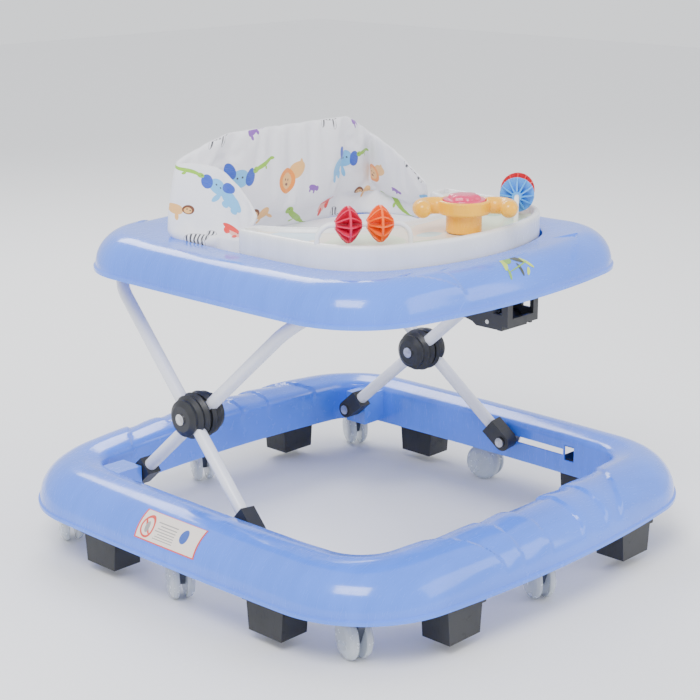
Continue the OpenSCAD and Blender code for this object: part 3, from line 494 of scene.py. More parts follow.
def leaf_marks(ink):
    low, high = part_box("front_decal")
    middle = (low.z + high.z) / 2
    covered = None
    leaves = [(-16, 6, 16, 5, 35), (-4, 9, 17, 5, 15), (9, 8, 16, 5, -20), (20, 3, 14, 4.5, -45),
              (-20, -3, 12, 4, 65), (2, -1, 13, 4.5, 80), (12, -4, 11, 4, 40), (0, 2, 40, 1.2, 8)]
    for k, (x, z, length, width, tilt) in enumerate(leaves):
        colour = [(0.50, 0.68, 0.08), (0.20, 0.42, 0.06), (0.04, 0.05, 0.03)][k % 3]
        shape = ink.ellipse((x * MM, middle + z * MM), (length * MM, width * MM), colour, tilt, edge=0.1)
        covered = shape if covered is None else covered.maths("MAXIMUM", covered, shape)
    return covered


finishes["tray_print"] = tray_picture()
finishes["label"] = sticker("base sticker", "Y", (0.72, 0.05, 0.03), label_marks)
finishes["decal"] = sticker("leaf sticker", "X", (0.5, 0.68, 0.08), leaf_marks, clear=True)
print(f"{len(finishes)} finishes in all")


# %% [markdown]
# ## Finishing the CAD nodes
#
# The record says which finish each node has. Rounded faces get smooth shading with sharp edges kept, and the
# boxy black parts get a small bevel, because no moulded edge is knife sharp and a bevel is what catches light.

# %% Finish and bevel the CAD nodes
slot_of = {part["node"]: part["material_slot"] for part in frame["record"]["subparts"]}


def smooth(obj, angle=35):
    obj.data.shade_smooth()
    obj.data.set_sharp_from_angle(angle=math.radians(angle))


def bevel(obj, width, segments=2, angle=35):
    made = obj.modifiers.new("soft edge", "BEVEL")
    made.width = width
    made.segments = segments
    made.limit_method = "ANGLE"
    made.angle_limit = math.radians(angle)
    made.harden_normals = False


BEVELS = {"stoppers": 1.2 * MM, "adjuster_bracket": 0.7 * MM, "foot_caps": 1.0 * MM, "rear_clip": 0.6 * MM,
          "release_lever": 0.6 * MM, "seat_hooks": 0.8 * MM}
for name, obj in nodes.items():
    obj.data.materials.clear()
    obj.data.materials.append(finishes[slot_of[name]])
    smooth(obj)
    for part, width in BEVELS.items():
        if part in name:
            bevel(obj, width)
print(f"{len(nodes)} nodes finished, {len(BEVELS)} kinds bevelled")


# %% [markdown]
# ## Floor and light
#
# The walker stands on a pale seamless floor. One large soft light above and to the left gives the highlights on
# the blue mouldings, a fainter one on the right opens the shadows, and the world fills in the rest.

# %% Floor, world and lights
def paper():
    made, start = material("studio paper")
    at = place(start)
    fibre = noise(start, at, 180, 4)
    return close(made, start, mix(fibre, (0.90, 0.90, 0.91), (0.94, 0.94, 0.95)), fibre * 0.1 + 0.75, fibre,
                 bump=0.03, reach=0.2 * MM)


grid = bmesh.new()
bmesh.ops.create_grid(grid, x_segments=1, y_segments=1, size=6.0)
floor_mesh = bpy.data.meshes.new("floor")
grid.to_mesh(floor_mesh)
grid.free()
floor_mesh.materials.append(paper())
floor = bpy.data.objects.new("floor", floor_mesh)
floor.location.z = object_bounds()[0][2] - 0.0005
bpy.context.scene.collection.objects.link(floor)
floor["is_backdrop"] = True

world = bpy.data.worlds.new("soft white room")
world.use_nodes = True
world.node_tree.nodes["Background"].inputs["Color"].default_value = (0.95, 0.97, 1.0, 1)
world.node_tree.nodes["Background"].inputs["Strength"].default_value = 1.25
bpy.context.scene.world = world


def softbox(name, place_at, aim, size, watts):
    data = bpy.data.lights.new(name, "AREA")
    data.shape = "RECTANGLE"
    data.size, data.size_y = size
    data.energy = watts
    lamp = bpy.data.objects.new(name, data)
    lamp.location = place_at
    lamp.rotation_euler = (Vector(place_at) - Vector(aim)).to_track_quat("Z", "Y").to_euler()
    bpy.context.scene.collection.objects.link(lamp)
    lamp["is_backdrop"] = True


softbox("key", (-1.6, -0.9, 2.3), (0, 0, 0.25), (1.3, 1.0), 62)
softbox("fill", (1.2, -2.2, 1.2), (0, 0, 0.25), (1.6, 1.4), 20)
softbox("back", (0.9, 1.8, 1.9), (0, 0, 0.3), (1.5, 0.8), 34)
print("floor, world and three soft lights")


# %% [markdown]
# ## Outlines made of arcs
#
# Seen from above, both rings and the tray follow closed outlines of eight tangent arcs: two sides, two ends
# and four corners. Each station of an outline is a point and the direction outwards. A loop set in by t is
# then just the point minus t times that direction, which keeps every wall the same thickness.

# %% Stations round an outline
def arc(centre, radius, start, end, steps):
    """Points of an arc and the outward direction at each, without the last one. Angles in degrees."""
    turn = np.radians(np.linspace(start, end, steps, endpoint=False))
    out = np.stack([np.cos(turn), np.sin(turn)], 1)
    return np.array(centre) + radius * out, out


def outline(half_w, half_l, side_r, end_r, corner_r, y_off, steps=(40, 50, 156)):
    """Stations round the outline. steps is for each side, corner and end."""
    sx, ey = half_w - side_r, half_l - end_r
    a, b, d = side_r - corner_r, end_r - corner_r, math.hypot(sx, ey)
    along = (a * a - b * b + d * d) / (2 * d)
    off = math.sqrt(a * a - along * along)
    ux, uy = -sx / d, ey / d
    cx, cy = sx + along * ux - off * uy, along * uy + off * ux
    s = math.degrees(math.atan2(cy, cx - sx))
    e = math.degrees(math.atan2(cy - ey, cx))
    parts = [arc((sx, 0), side_r, -s, s, steps[0]), arc((cx, cy), corner_r, s, e, steps[1]),
             arc((0, ey), end_r, e, 180 - e, steps[2]), arc((-cx, cy), corner_r, 180 - e, 180 - s, steps[1]),
             arc((-sx, 0), side_r, 180 - s, 180 + s, steps[0]), arc((-cx, -cy), corner_r, 180 + s, 180 + e, steps[1]),
             arc((0, -ey), end_r, 180 + e, 360 - e, steps[2]), arc((cx, -cy), corner_r, -e, -s, steps[1])]
    points = np.concatenate([p for p, out in parts]) + [0, y_off]
    return points, np.concatenate([out for p, out in parts])


def loop_at(line, inset, z):
    points, out = line
    flat = points - inset * out
    return np.column_stack([flat, np.full(len(flat), z)])


BASE_LINE = outline(332.5, 340, 6000, 1641.8, 134, 0)
RING_LINE = outline(260.5, 273.5, 6000, 900, 106, 7.34)
OPEN_LINE = outline(190, 208, 3000, 330, 105, -0.16)
print(f"outlines of {len(BASE_LINE[0])} stations; base {np.ptp(BASE_LINE[0], 0).round(1).tolist()} mm")


# %% [markdown]
# A moulding is a grid: one direction runs round the outline and the other across the section. The normals of
# the grid push raised details outwards, and a second skin one wall thickness behind makes it a closed solid.

# %% Grids and closed shells
def smooth_step(value, low, high):
    t = np.clip((value - low) / (high - low), 0, 1)
    return t * t * (3 - 2 * t)


def rounded(points, times=2):
    """Cuts the corners off a polyline, again and again, but keeps its two ends."""
    for _ in range(times):
        cut = [points[0]]
        for p, q in zip(points[:-1], points[1:]):
            cut += [0.75 * p + 0.25 * q, 0.25 * p + 0.75 * q]
        points = np.array(cut + [points[-1]])
    return points


def grid_normals(grid, closed=True):
    """Outward normals of a grid of points, stations by section points."""
    if closed:
        along = np.roll(grid, -1, 0) - np.roll(grid, 1, 0)
    else:
        along = np.gradient(grid, axis=0)
    across = np.gradient(grid, axis=1)
    normal = np.cross(along, across)
    return normal / np.maximum(np.linalg.norm(normal, axis=2, keepdims=True), 1e-9)


def mesh_object(name, points, faces, finish, body, angle=35):
    """A smooth-shaded piece. points in millimetres."""
    mesh = bpy.data.meshes.new(name)
    mesh.from_pydata([tuple(p) for p in np.asarray(points) * MM], [], faces)
    mesh.update()
    mesh.materials.append(finishes[finish])
    made = bpy.data.objects.new(name, mesh)
    bpy.context.scene.collection.objects.link(made)
    shape = bmesh.new()
    shape.from_mesh(mesh)
    bmesh.ops.recalc_face_normals(shape, faces=shape.faces)
    shape.to_mesh(mesh)
    shape.free()
    smooth(made, angle)
    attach(made, body)
    return made


def shell_faces(stations, rows):
    """Quads of a grid that closes in both directions."""
    return [(i * rows + j, i * rows + (j + 1) % rows,
             ((i + 1) % stations) * rows + (j + 1) % rows, ((i + 1) % stations) * rows + j)
            for i in range(stations) for j in range(rows)]


def moulding(name, outer, wall, finish, body):
    """A closed shell: the outer grid and, one wall behind it, the inner one."""
    inner = outer - grid_normals(outer) * wall
    both = np.concatenate([outer, inner[:, ::-1]], axis=1)
    return mesh_object(name, both.reshape(-1, 3), shell_faces(*both.shape[:2]), finish, body)


def apply_modifiers(obj):
    done = bpy.data.meshes.new_from_object(obj.evaluated_get(bpy.context.evaluated_depsgraph_get()))
    obj.modifiers.clear()
    obj.data = done


print("mouldings are closed grids of two skins")


# %% [markdown]
# ## The base ring
#
# The band rises from an outer lip to a crown and rolls over into the inner wall. Its front and rear carry a
# row of overlapping scales, like a shell: each scale starts with a step of about 2 mm and slopes down to the
# next. The step lines run slantwise across the band, and the last one is the edge of the corner lobe.

# %% Base section and scales
def swell(p, q, steps):
    turn = np.linspace(0, math.pi / 2, steps)
    return np.column_stack([p[0] + (q[0] - p[0]) * (1 - np.cos(turn)), p[1] + (q[1] - p[1]) * np.sin(turn)])


def scales(grid, inset, lines, heights, lobe):
    """How far each grid point is pushed out. lines are |x| of each step at the outer edge and inner rim."""
    x, y = np.abs(grid[..., 0]), np.abs(grid[..., 1])
    share = np.clip(inset / lines["band"], 0, 1)
    at = [outer + (inner - outer) * share for outer, inner in lines["steps"]]
    push = np.zeros(x.shape)
    for k, height in enumerate(heights):
        rise = smooth_step(x, at[k] - 1.4, at[k] + 1.4)
        if k + 1 < len(at):
            push = push * (1 - rise) + height * rise * (1 - smooth_step(x, at[k] + 6, at[k + 1] - 4) * 0.9)
        else:
            push = push * (1 - rise) + height * rise * (1 - smooth_step(x, at[k] + 10, at[k] + lobe))
    return push * smooth_step(y, lines["from_y"], lines["from_y"] + 70)


base_profile = np.concatenate([[[0, 61], [0, 65]], swell((2.5, 66.5), (56, 115), 22),
                               rounded(np.array([[60, 114.8], [70, 112], [79, 109], [82, 104], [82, 98]])),
                               [[82, 90], [82, 80], [82, 68], [82, 56]]])
base_grid = np.stack([loop_at(BASE_LINE, t, z) for t, z in base_profile], axis=1)
inset = np.broadcast_to(base_profile[:, 0], base_grid.shape[:2])
push = scales(base_grid, inset, {"band": 82, "steps": [(30, 36), (80, 85), (105, 170)], "from_y": 150},
              [2.9, 2.9, 3.4], 130)
push = push * smooth_step(inset, 3, 14) * np.where(inset > 78, smooth_step(base_grid[..., 2], 86, 103), 1)
base_grid = base_grid + grid_normals(base_grid) * push[..., None]
print(f"base grid {base_grid.shape[:2]}, scales up to {push.max():.1f} mm high")

# %% Base ring
base_shell = moulding("base_shell", base_grid, 2.5, "ring_blue", "base")


def add_solids(obj, boxes=(), rods=()):
    """Adds boxes (low, high) and upright rods (x, y, z0, z1, r) in millimetres to a piece."""
    shape = bmesh.new()
    shape.from_mesh(obj.data)
    for low, high in boxes:
        low, high = np.array(low) * MM, np.array(high) * MM
        made = bmesh.ops.create_cube(shape, size=1.0)["verts"]
        bmesh.ops.scale(shape, vec=high - low, verts=made)
        bmesh.ops.translate(shape, vec=(low + high) / 2, verts=made)
    for x, y, z0, z1, r in rods:
        made = bmesh.ops.create_cone(shape, cap_ends=True, segments=32, radius1=r * MM, radius2=r * MM,
                                     depth=(z1 - z0) * MM)["verts"]
        bmesh.ops.translate(shape, vec=Vector((x, y, (z0 + z1) / 2)) * MM, verts=made)
    shape.to_mesh(obj.data)
    shape.free()


def cut(obj, boxes):
    """Cuts boxes out of a piece."""
    tool = bpy.data.objects.new("cutter", bpy.data.meshes.new("cutter"))
    bpy.context.scene.collection.objects.link(tool)
    add_solids(tool, boxes)
    knife = obj.modifiers.new("cut", "BOOLEAN")
    knife.operation = "DIFFERENCE"
    knife.solver = "EXACT"
    knife.object = tool
    apply_modifiers(obj)
    bpy.data.objects.remove(tool)


cut(base_shell, [((s * 249.5 - 9, y0, z0), (s * 249.5 + 9, y1, z1)) for s in (-1, 1)
                 for y0, y1, z0, z1 in [(-139.9, -52.3, 81.3, 89.9), (-157.9, -141.9, 74.9, 96.4)]])
blocks = [((min(s * 207, s * 249), 183, 61.5), (max(s * 207, s * 249), 219, 105)) for s in (-1, 1)]
for s in (-1, 1):
    for x, y, drop in [(s * 164.5, -297, 10), (s * 164.5, 297, 10), (s * 290.5, -150, 7), (s * 290.5, 140, 7)]:
        blocks.append(((x - 8, y - 8, 91), (x + 8, y + 8, 113 - drop)))
sockets = [(s * 266.6, y, 63, 107, 9.5) for s in (-1, 1) for y in (-253.1, 253.1)]
sockets += [(0, -299, 63, 107, 9.5), (0, 299, 63, 107, 9.5), (-291.5, 10, 63, 107, 9.5), (291.5, 10, 63, 107, 9.5)]
add_solids(base_shell, blocks, sockets)
smooth(base_shell, 30)
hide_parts("base_ring")
print(f"base ring of {len(base_shell.data.polygons)} faces, with slots, foot blocks and {len(sockets)} sockets")


# %% [markdown]
# ## The upper ring
#
# The upper ring is built the same way, but its flat rim joins two outlines. The outer skin rises to the rim,
# and the inner one drops down a wall to the ledge that carries the tray. At the front, everything outside a
# central panel is raised a little, and the corner lobes once more.

# %% Upper ring
ring_profile = np.concatenate([[[0, 359.8], [0, 363.8]], swell((2.5, 365.3), (39, 403.8), 20)])
rise = [(RING_LINE, t, z) for t, z in ring_profile]
rim = [(OPEN_LINE, t, z) for t, z in [(-18, 403.8), (-8, 403.8)]]
drop = [(OPEN_LINE, t, z) for t, z in rounded(np.array([[-4, 403.8], [0, 403.8], [0, 399]]))]
ledge = [(OPEN_LINE, t, z) for t, z in [(0, 395), (0, 388), (0, 385.6), (0.8, 384.8), (8, 384.8), (14.2, 384.8),
                                        (15, 384), (15, 376), (15, 366.8)]]
section = rise + rim + drop + ledge
ring_grid = np.stack([loop_at(line, t, z) for line, t, z in section], axis=1)
band = np.array([t if line is RING_LINE else 60 for line, t, z in section])
inset = np.broadcast_to(band, ring_grid.shape[:2]).astype(float)
x, y = ring_grid[..., 0], ring_grid[..., 1]
edge_x = 82 + (205 - 82) * np.clip(inset / 60, 0, 1)
lobe = smooth_step(np.abs(x), edge_x - 1.5, edge_x + 1.5) * (1 - smooth_step(np.abs(x), edge_x + 8, edge_x + 120))
panel_edge = 99 + 8 * np.clip(inset / 60, 0, 1)
left = smooth_step(-x * np.sign(-y), panel_edge - 1.5, panel_edge + 1.5)
push = (2.4 * lobe + 1.7 * left * (1 - smooth_step(np.abs(x), 130, 200))) * smooth_step(np.abs(y), 110, 180)
push = push * smooth_step(inset, 3, 12) * np.array([1.0 if line is RING_LINE else 0.0 for line, t, z in section])
ring_grid = ring_grid + grid_normals(ring_grid) * push[..., None]
ring_shell = moulding("ring_shell", ring_grid, 2.5, "ring_blue", "tray")
clip_high = np.array(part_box("rear_clip_left")[1]) / MM
bracket_low, bracket_high = [np.array(corner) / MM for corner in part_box("adjuster_bracket")]
bosses = [((s * 72 - 11, 242, clip_high[2]), (s * 72 + 11, 260, 395)) for s in (-1, 1)]
bosses += [((s * 20 - 7, bracket_low[1] + 16, bracket_high[2]), (s * 20 + 7, bracket_low[1] + 28, 394))
           for s in (-1, 1)]
add_solids(ring_shell, bosses)
smooth(ring_shell, 30)
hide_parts("upper_ring")
print(f"upper ring of {len(ring_shell.data.polygons)} faces, lobes up to {push.max():.1f} mm")


# %% [markdown]
# The two stickers follow the mouldings, so they are cut from the same grids: a patch of the grid is drawn again,
# much finer, and lifted by the thickness of the film.

# %% Stickers
def sticker_patch(name, grid, body, finish, node, choose, axis, flip=False):
    """A film on part of a grid. choose says which stations may carry it, and axis runs along the outline."""
    low, high = [np.array(corner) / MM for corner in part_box(node)]
    out = grid_normals(grid)
    station = np.where(choose(grid[:, 0]))[0]
    order = station[np.argsort(grid[station, 10, axis])]
    along = np.linspace(low[axis], high[axis], 60)
    rows = np.arange(grid.shape[1])
    patch = np.stack([[np.interp(along, grid[order, row, axis], values[order, row, k]) for k in range(3)]
                      for row in rows for values in [grid + out * 0.35]], axis=2)
    patch = patch.transpose(1, 2, 0)
    keep = rows[(patch[30, :, 2] > low[2] - 1) & (patch[30, :, 2] < high[2] + 1) & (rows < 30)]
    patch = patch[:, keep]
    z = np.linspace(low[2], high[2], 24)
    patch = np.stack([np.column_stack([np.interp(z, column[:, 2], column[:, k]) for k in range(3)])
                      for column in patch])
    faces = [(i * 24 + j, i * 24 + j + 1, (i + 1) * 24 + j + 1, (i + 1) * 24 + j)
             for i in range(59) for j in range(23)]
    made = mesh_object(name, patch.reshape(-1, 3), faces, finish, body, 80)
    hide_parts(node)
    return made


label = sticker_patch("base_sticker", base_grid, "base", "label", "warning_label",
                      lambda p: (p[:, 0] < 0) & (np.abs(p[:, 1]) < 190), 1)
leaves = sticker_patch("leaf_sticker", ring_grid, "tray", "decal", "front_decal",
                       lambda p: (p[:, 1] < 0) & (np.abs(p[:, 0]) < 150), 0)
print(f"stickers of {len(label.data.polygons)} and {len(leaves.data.polygons)} faces")


# %% [markdown]
# ## The play tray
#
# The tray lies in the opening. Its outline follows the opening at the front and sides, and its rear is hollowed
# by a circle for the child's stomach, which leaves two rounded tips. The outline is drawn as a dense polyline,
# its sharp corners are smoothed, and loops set in by different amounts are lofted together. No loop is set in by
# more than the curve's own radius there, or it would cross itself at the tips.

# %% Tray outline
def resample(points, spacing, closed=True):
    if closed:
        points = np.vstack([points, points[:1]])
    length = np.concatenate([[0], np.cumsum(np.linalg.norm(np.diff(points, axis=0), axis=1))])
    count = int(length[-1] / spacing)
    at = np.linspace(0, length[-1], count, endpoint=not closed)
    return np.column_stack([np.interp(at, length, points[:, k]) for k in range(points.shape[1])])


def soften(points, width, times):
    """Rounds a closed polyline by averaging each point with its neighbours."""
    kernel = np.ones(width) / width
    for _ in range(times):
        wrapped = np.vstack([points[-width:], points, points[:width]])
        points = np.column_stack([np.convolve(wrapped[:, k], kernel, "same")[width:-width] for k in range(2)])
    return points


opening, out = OPEN_LINE
edge = opening - 3 * out
TRAY_END, BELLY_Y, BELLY_R, SPACING = 19.8, 69.8, 160.0, 1.6
front = edge[edge[:, 1] < TRAY_END]
turn = np.arctan2(front[:, 0], -front[:, 1] - 60)
front = front[np.argsort(turn)]
tip_x = math.sqrt(BELLY_R ** 2 - (BELLY_Y - TRAY_END) ** 2)
belly_end = math.degrees(math.atan2(TRAY_END - BELLY_Y, tip_x))
belly, _ = arc((0, BELLY_Y), BELLY_R, belly_end, -180 - belly_end, 200)
tray_line = resample(np.vstack([front, [[front[-1, 0], TRAY_END], [tip_x, TRAY_END]], belly,
                                [[-tip_x, TRAY_END], [front[0, 0], TRAY_END]]]), SPACING)
tray_line = resample(soften(tray_line, 9, 3), SPACING)
along = np.roll(tray_line, -1, 0) - np.roll(tray_line, 1, 0)
along /= np.linalg.norm(along, axis=1, keepdims=True)
tray_out = np.column_stack([along[:, 1], -along[:, 0]])
if (tray_out * (tray_line - [0, -90])).sum() < 0:
    tray_out = -tray_out
ahead = np.roll(along, -3, 0)
turned = along[:, 0] * ahead[:, 1] - along[:, 1] * ahead[:, 0]
radius = 3 * SPACING / np.maximum(np.abs(turned), 0.02)
room = np.array([radius[np.arange(k - 8, k + 9) % len(radius)].min() for k in range(len(radius))])
room = np.convolve(np.concatenate([room[-8:], room, room[:8]]), np.ones(17) / 17, "same")[8:-8]
print(f"tray outline of {len(tray_line)} points, {np.ptp(tray_line, 0).round(0).tolist()} mm")

# %% Tray
def cap(grid, row):
    """Triangles that close one row of a grid, whatever its shape."""
    across = grid.shape[1]
    triangles = tessellate_polygon([[Vector(p) for p in grid[:, row]]])
    return [tuple(k * across + row for k in triangle) for triangle in triangles]


tray_section = np.concatenate([[[0, 385.4], [0, 395], [0, 410], [0, 422]],
                               rounded(np.array([[0, 426], [0.6, 429.4], [3, 430.6], [6, 430.8], [8, 429.6],
                                                 [9.2, 426.6], [11, 424.8]]), 1)])
inside = np.array([[12, 422.2], [8, 422.4], [2.6, 422], [2.6, 385.4]])
tray_grid = np.stack([np.column_stack([tray_line - tray_out * np.minimum(t, 0.7 * room)[:, None],
                                       np.full(len(tray_line), z)])
                      for t, z in np.concatenate([inside, tray_section])], axis=1)
count, across = tray_grid.shape[:2]
faces = [(i * across + j, i * across + j + 1, ((i + 1) % count) * across + j + 1, ((i + 1) % count) * across + j)
         for i in range(count) for j in range(across - 1)]
faces += cap(tray_grid, 0) + cap(tray_grid, across - 1)
tray = mesh_object("tray_moulding", tray_grid.reshape(-1, 3), faces, "tray_white", "tray")
add_solids(tray, rods=[(0, -168.2, 422.5, 449.5, 11)] + [(s * 182, -20, 385.2, 423, 4.2) for s in (-1, 1)])
smooth(tray, 40)
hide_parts("play_tray")
print(f"tray of {len(tray.data.polygons)} faces")


# %% [markdown]
# ## Steering wheel and horn
#
# The wheel's two handles, its dish and its column meet in hard creases in the CAD shape. Remeshing a copy of it
# into small even cells and smoothing them melts the creases into fillets, as a mould would have. The horn is
# a flower-shaped dome on a round flange, lofted from rings whose radius waves six times.

# %% Wheel and horn
wheel = nodes["steering_wheel"].copy()
wheel.data = nodes["steering_wheel"].data.copy()
wheel.name = "wheel_moulding"
wheel.modifiers.clear()
bpy.context.scene.collection.objects.link(wheel)
for kind, settings in [("REMESH", {"mode": "VOXEL", "voxel_size": 1.1 * MM}),
                       ("SMOOTH", {"factor": 0.6, "iterations": 9})]:
    step = wheel.modifiers.new(kind.lower(), kind)
    for name, value in settings.items():
        setattr(step, name, value)
apply_modifiers(wheel)
wheel.parent = None
wheel.matrix_world.identity()
smooth(wheel, 60)
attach(wheel, "steering")
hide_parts("steering_wheel")

horn_rings = [  # radius, height and how much the petals show, in millimetres
    (20, 458.2, 0), (25, 458.2, 0), (25, 463.4, 0), (24.2, 464.6, 0), (21, 464.8, 0.3), (18.6, 465, 1.0),
    (18.0, 466.2, 1.0), (17.2, 468, 1.0), (15.6, 469.4, 0.9), (12.5, 470.1, 0.6), (7, 470.3, 0.2), (3, 470.3, 0)]
turn = np.linspace(0, math.tau, 96, endpoint=False)
horn_grid = np.stack([np.column_stack([r * (1 + 0.075 * petals * np.cos(6 * turn)) * np.cos(turn),
                                       r * (1 + 0.075 * petals * np.cos(6 * turn)) * np.sin(turn) - 168.2,
                                       np.full(96, z)]) for r, z, petals in horn_rings], axis=1)
across = len(horn_rings)
faces = [(i * across + j, i * across + j + 1, ((i + 1) % 96) * across + j + 1, ((i + 1) % 96) * across + j)
         for i in range(96) for j in range(across - 1)]
faces += cap(horn_grid, 0) + cap(horn_grid, across - 1)
horn = mesh_object("horn_dome", horn_grid.reshape(-1, 3), faces, "horn_pink", "horn", 50)
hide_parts("horn_button")
print(f"wheel of {len(wheel.data.polygons)} faces, horn of {len(horn.data.polygons)}")


# %% [markdown]
# ## The padded seat
#
# The seat is a U of padded cloth that stands in the opening: a back that leans in as it rises, two ears at its
# corners, and two wings that fall to the tips of the tray. Half of it is a list of knots, each with a foot, a
# middle and a top. The other half is its mirror, and a spline runs through the knots of both.

# %% Seat surface
HALF_SEAT = [  # foot, just above the rim, and top of each knot, in millimetres
    [(0, 146, 386), (0, 146, 412), (0, 119, 524)],
    [(62, 146, 386), (62, 146, 412), (58, 119, 524)],
    [(112, 146, 386), (114, 146, 412), (104, 120, 522)],
    [(150, 138, 386), (160, 146, 412), (142, 132, 508)],
    [(160, 126, 386), (178, 136, 412), (169, 139, 494)],
    [(166, 112, 386), (181, 118, 412), (157, 118, 493)],
    [(172, 92, 386), (180, 92, 412), (146, 93, 488)],
    [(175, 66, 386), (178, 66, 412), (145, 66, 476)],
    [(177, 42, 386), (177, 42, 412), (146, 40, 457)],
    [(176, 24, 386), (174, 24, 412), (150, 22, 441)],
]


def spline(knots, count):
    """Points of a smooth curve through the knots, evenly numbered."""
    knots = np.asarray(knots, float)
    padded_knots = np.concatenate([[2 * knots[0] - knots[1]], knots, [2 * knots[-1] - knots[-2]]])
    at = np.linspace(0, len(knots) - 1 - 1e-9, count)
    k, t = at.astype(int), (at % 1)[:, None]
    a, b, c, d = (padded_knots[k + j] for j in range(4))
    return 0.5 * (2 * b + (c - a) * t + (2 * a - 5 * b + 4 * c - d) * t ** 2 + (3 * b - a - 3 * c + d) * t ** 3)


mirrored = [[(-x, y, z) for x, y, z in knot] for knot in HALF_SEAT[:0:-1]]
knots = np.array(mirrored + HALF_SEAT, float)
SEAT_U, SEAT_V = 151, 25
rows = [spline(knots[:, j], SEAT_U) for j in range(3)]
length = np.concatenate([[0], np.cumsum(np.linalg.norm(np.diff(rows[1], axis=0), axis=1))])
even = np.linspace(0, length[-1], SEAT_U)
rows = [np.column_stack([np.interp(even, length, row[:, k]) for k in range(3)]) for row in rows]
share = np.linspace(0, 1, SEAT_V)
knee = 0.19
seat_grid = np.stack([np.where(v < knee, rows[0] + (rows[1] - rows[0]) * v / knee,
                               rows[1] + (rows[2] - rows[1]) * max(0, v - knee) / (1 - knee)) for v in share], axis=1)
seat_out = grid_normals(seat_grid, closed=False)
if (seat_out[SEAT_U // 2, SEAT_V // 2] * [0, 1, 0]).sum() < 0:
    seat_out = -seat_out
print(f"the seat is {length[-1]:.0f} mm round and {np.ptp(seat_grid[..., 2]):.0f} mm high")


# %% [markdown]
# The padding puffs the cloth between its seams. The seams run down the back at the ears and round the edge.
# A cloth simulation does the puffing: both skins start thin, their edges and seams are pinned, and pressure
# inside fills them until the cloth wrinkles by itself. The result is kept as plain geometry.

# %% Seat skins
SEAMS = [s * 104 for s in (-1, 1)]
seam_column = [int(np.abs(rows[2][:, 0] - x).argmin()) for x in SEAMS]
u, v = np.meshgrid(np.linspace(0, 1, SEAT_U), share, indexing="ij")
puff = np.sin(math.pi * np.clip(v, 0, 1)) ** 0.5 * np.clip(np.minimum(u, 1 - u) * 18, 0, 1) ** 0.5
for column in seam_column:
    puff = puff * (0.25 + 0.75 * smooth_step(np.abs(np.arange(SEAT_U) - column), 0, 5))[:, None]
thick = (1.2 + 5.3 * puff)[..., None]
skins = [seat_grid + seat_out * thick, seat_grid - seat_out * thick]
points = np.concatenate([skin.reshape(-1, 3) for skin in skins])
across = SEAT_V
one_side = [(i * across + j, i * across + j + 1, (i + 1) * across + j + 1, (i + 1) * across + j)
            for i in range(SEAT_U - 1) for j in range(SEAT_V - 1)]
other = SEAT_U * SEAT_V
faces = one_side + [tuple(other + k for k in face[::-1]) for face in one_side]
border = [i * across for i in range(SEAT_U)] + [(SEAT_U - 1) * across + j for j in range(1, SEAT_V)]
border += [i * across + SEAT_V - 1 for i in range(SEAT_U - 2, -1, -1)] + list(range(SEAT_V - 2, 0, -1))
faces += [(a, b, other + b, other + a) for a, b in zip(border, border[1:] + border[:1])]
seat = mesh_object("seat_padding", points, faces, "seat_fabric", "tray", 80)


def cloth_map(obj, u_of, v_of):
    """UVs in metres from two lists, one value for each vertex."""
    layer = obj.data.uv_layers.new(name="cloth")
    for loop in obj.data.loops:
        layer.data[loop.index].uv = (u_of[loop.vertex_index], v_of[loop.vertex_index])


along = np.repeat(even * MM, SEAT_V)
height = np.tile(share * 0.140, SEAT_U)
cloth_map(seat, np.concatenate([along, along + 0.06]), np.concatenate([height, height + 0.03]))
pinned = seat.vertex_groups.new(name="pinned")
foot = [k for k in range(len(points)) if (k % SEAT_V) in (0, 1)]
pinned.add(foot, 1.0, "REPLACE")
pinned.add([s * other + c * SEAT_V + j for s in (0, 1) for c in seam_column for j in range(SEAT_V)], 0.8, "REPLACE")
pinned.add([s * other + i * SEAT_V + SEAT_V - 1 for s in (0, 1) for i in range(SEAT_U)], 0.6, "REPLACE")
print(f"{len(faces)} faces, seams at columns {seam_column}")

# %% Puff the seat up
cloth = seat.modifiers.new("cloth", "CLOTH")
cloth.settings.quality = 6
cloth.settings.mass = 0.3
cloth.settings.tension_stiffness = 12
cloth.settings.compression_stiffness = 12
cloth.settings.shear_stiffness = 6
cloth.settings.bending_stiffness = 0.8
cloth.settings.use_pressure = True
cloth.settings.uniform_pressure_force = 3.0
cloth.settings.shrink_min = -0.05
cloth.settings.vertex_group_mass = "pinned"
cloth.settings.effector_weights.gravity = 0.2
cloth.collision_settings.use_collision = False
cloth.point_cache.frame_end = 20
for frame_number in range(1, 21):
    bpy.context.scene.frame_set(frame_number)
apply_modifiers(seat)
bpy.context.scene.frame_set(1)
finer = seat.modifiers.new("finer", "SUBSURF")
finer.levels = finer.render_levels = 1
apply_modifiers(seat)
smooth(seat, 80)
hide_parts("seat_back")
print(f"seat of {len(seat.data.polygons)} faces, top at {max(v.co.z for v in seat.data.vertices):.3f} m")


# %% [markdown]
# ## The sling
#
# Below the rim the cloth goes on as a sling: a band round the child's waist and a strip between the legs. It
# is one sheet, so it is drawn as a surface with a little thickness, and it hangs from the hooks on the ledge.

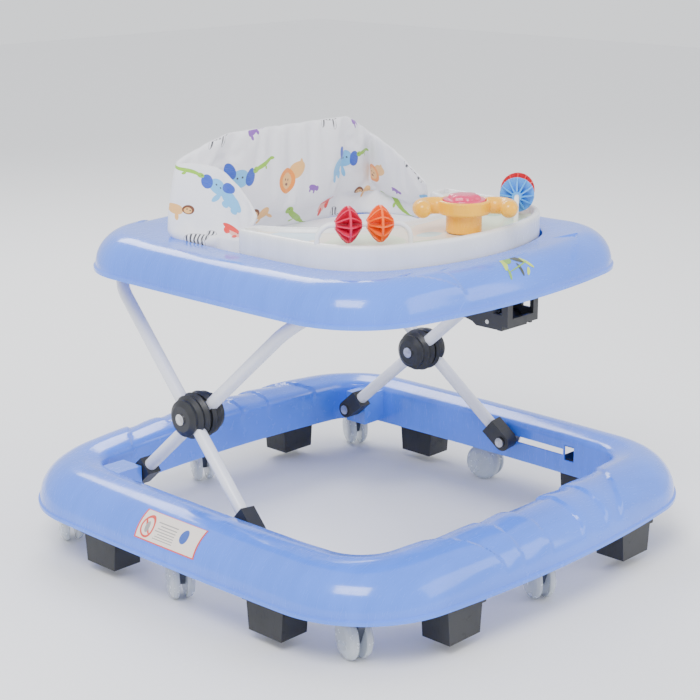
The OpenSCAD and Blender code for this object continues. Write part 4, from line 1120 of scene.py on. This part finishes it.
# %% Sling
def sheet_solid(name, grid, thick, finish, body):
    """A closed thin solid from an open grid of points."""
    out = grid_normals(grid, closed=False)
    count, across = grid.shape[:2]
    both = np.concatenate([(grid + out * thick / 2).reshape(-1, 3), (grid - out * thick / 2).reshape(-1, 3)])
    one = [(i * across + j, i * across + j + 1, (i + 1) * across + j + 1, (i + 1) * across + j)
           for i in range(count - 1) for j in range(across - 1)]
    shift = count * across
    border = [i * across for i in range(count)] + [(count - 1) * across + j for j in range(1, across)]
    border += [i * across + across - 1 for i in range(count - 2, -1, -1)] + list(range(across - 2, 0, -1))
    faces = one + [tuple(shift + k for k in face[::-1]) for face in one]
    faces += [(a, b, shift + b, shift + a) for a, b in zip(border, border[1:] + border[:1])]
    made = mesh_object(name, both, faces, finish, body, 60)
    steps = np.linalg.norm(np.diff(grid, axis=0), axis=2).mean(1).cumsum() * MM
    rise = np.linalg.norm(np.diff(grid, axis=1), axis=2).mean(0).cumsum() * MM
    u_of = np.repeat(np.concatenate([[0], steps]), across)
    v_of = np.tile(np.concatenate([[0], rise]), count)
    cloth_map(made, np.tile(u_of, 2), np.tile(v_of, 2))
    return made, (float(steps[-1]), float(rise[-1]))


turn = np.linspace(0, math.tau, 181)
ring = np.column_stack([np.sign(np.cos(turn)) * np.abs(np.cos(turn)) ** 0.55 * 161.5,
                        np.sign(np.sin(turn)) * np.abs(np.sin(turn)) ** 0.55 * 107.8 + 20.4])
sag = 1.2 * np.sin(9 * turn) + 0.8 * np.sin(17 * turn + 1)
rear = smooth_step(ring[:, 1], -10, 60)[:, None]
flare = ring * (1 + 0.075 * rear) + [0, 6] * rear
top_z = 381 + 6 * rear[:, 0]
levels = [flare] + [ring * (1 - 0.05 * d) + (ring * 0.004) * (sag * d)[:, None] for d in np.linspace(0, 1, 12)]
heights = [top_z] + [377 - 54 * d + 0 * top_z for d in np.linspace(0, 1, 12)]
band_grid = np.stack([np.column_stack([flat, z]) for flat, z in zip(levels, heights)], axis=1)
waist, waist_size = sheet_solid("sling_band", band_grid, 2.0, "seat_fabric", "tray")
swing = np.linspace(math.pi, math.tau, 61)
strip_grid = np.stack([np.column_stack([np.full(61, x * (1 - 0.14 * np.sin(-swing))), 20.4 + 100.8 * np.cos(swing),
                                        328 + 36 * np.sin(swing) + 2.0 * np.cos(x / 12) * np.sin(swing)])
                       for x in np.linspace(-55, 55, 15)], axis=1)
crotch, crotch_size = sheet_solid("sling_strip", strip_grid, 2.0, "seat_fabric", "tray")
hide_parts("seat_sling")
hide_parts("seat_sling")
for name, size in {"waist band": waist_size, "strip": crotch_size}.items():
    print(f"{name} {size[0]:.2f} by {size[1]:.2f} m")


# %% [markdown]
# ## Measuring and finishing
#
# The box round everything must stay close to the CAD model's, or the looks and the engineering no longer
# describe the same object.

# %% Measure and finish
final_box = [list(corner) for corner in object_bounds()]
grown = np.abs(np.array(final_box) - np.array(cad_box)).max()
print(f"the visual box differs from the CAD box by at most {grown * 1000:.1f} mm")
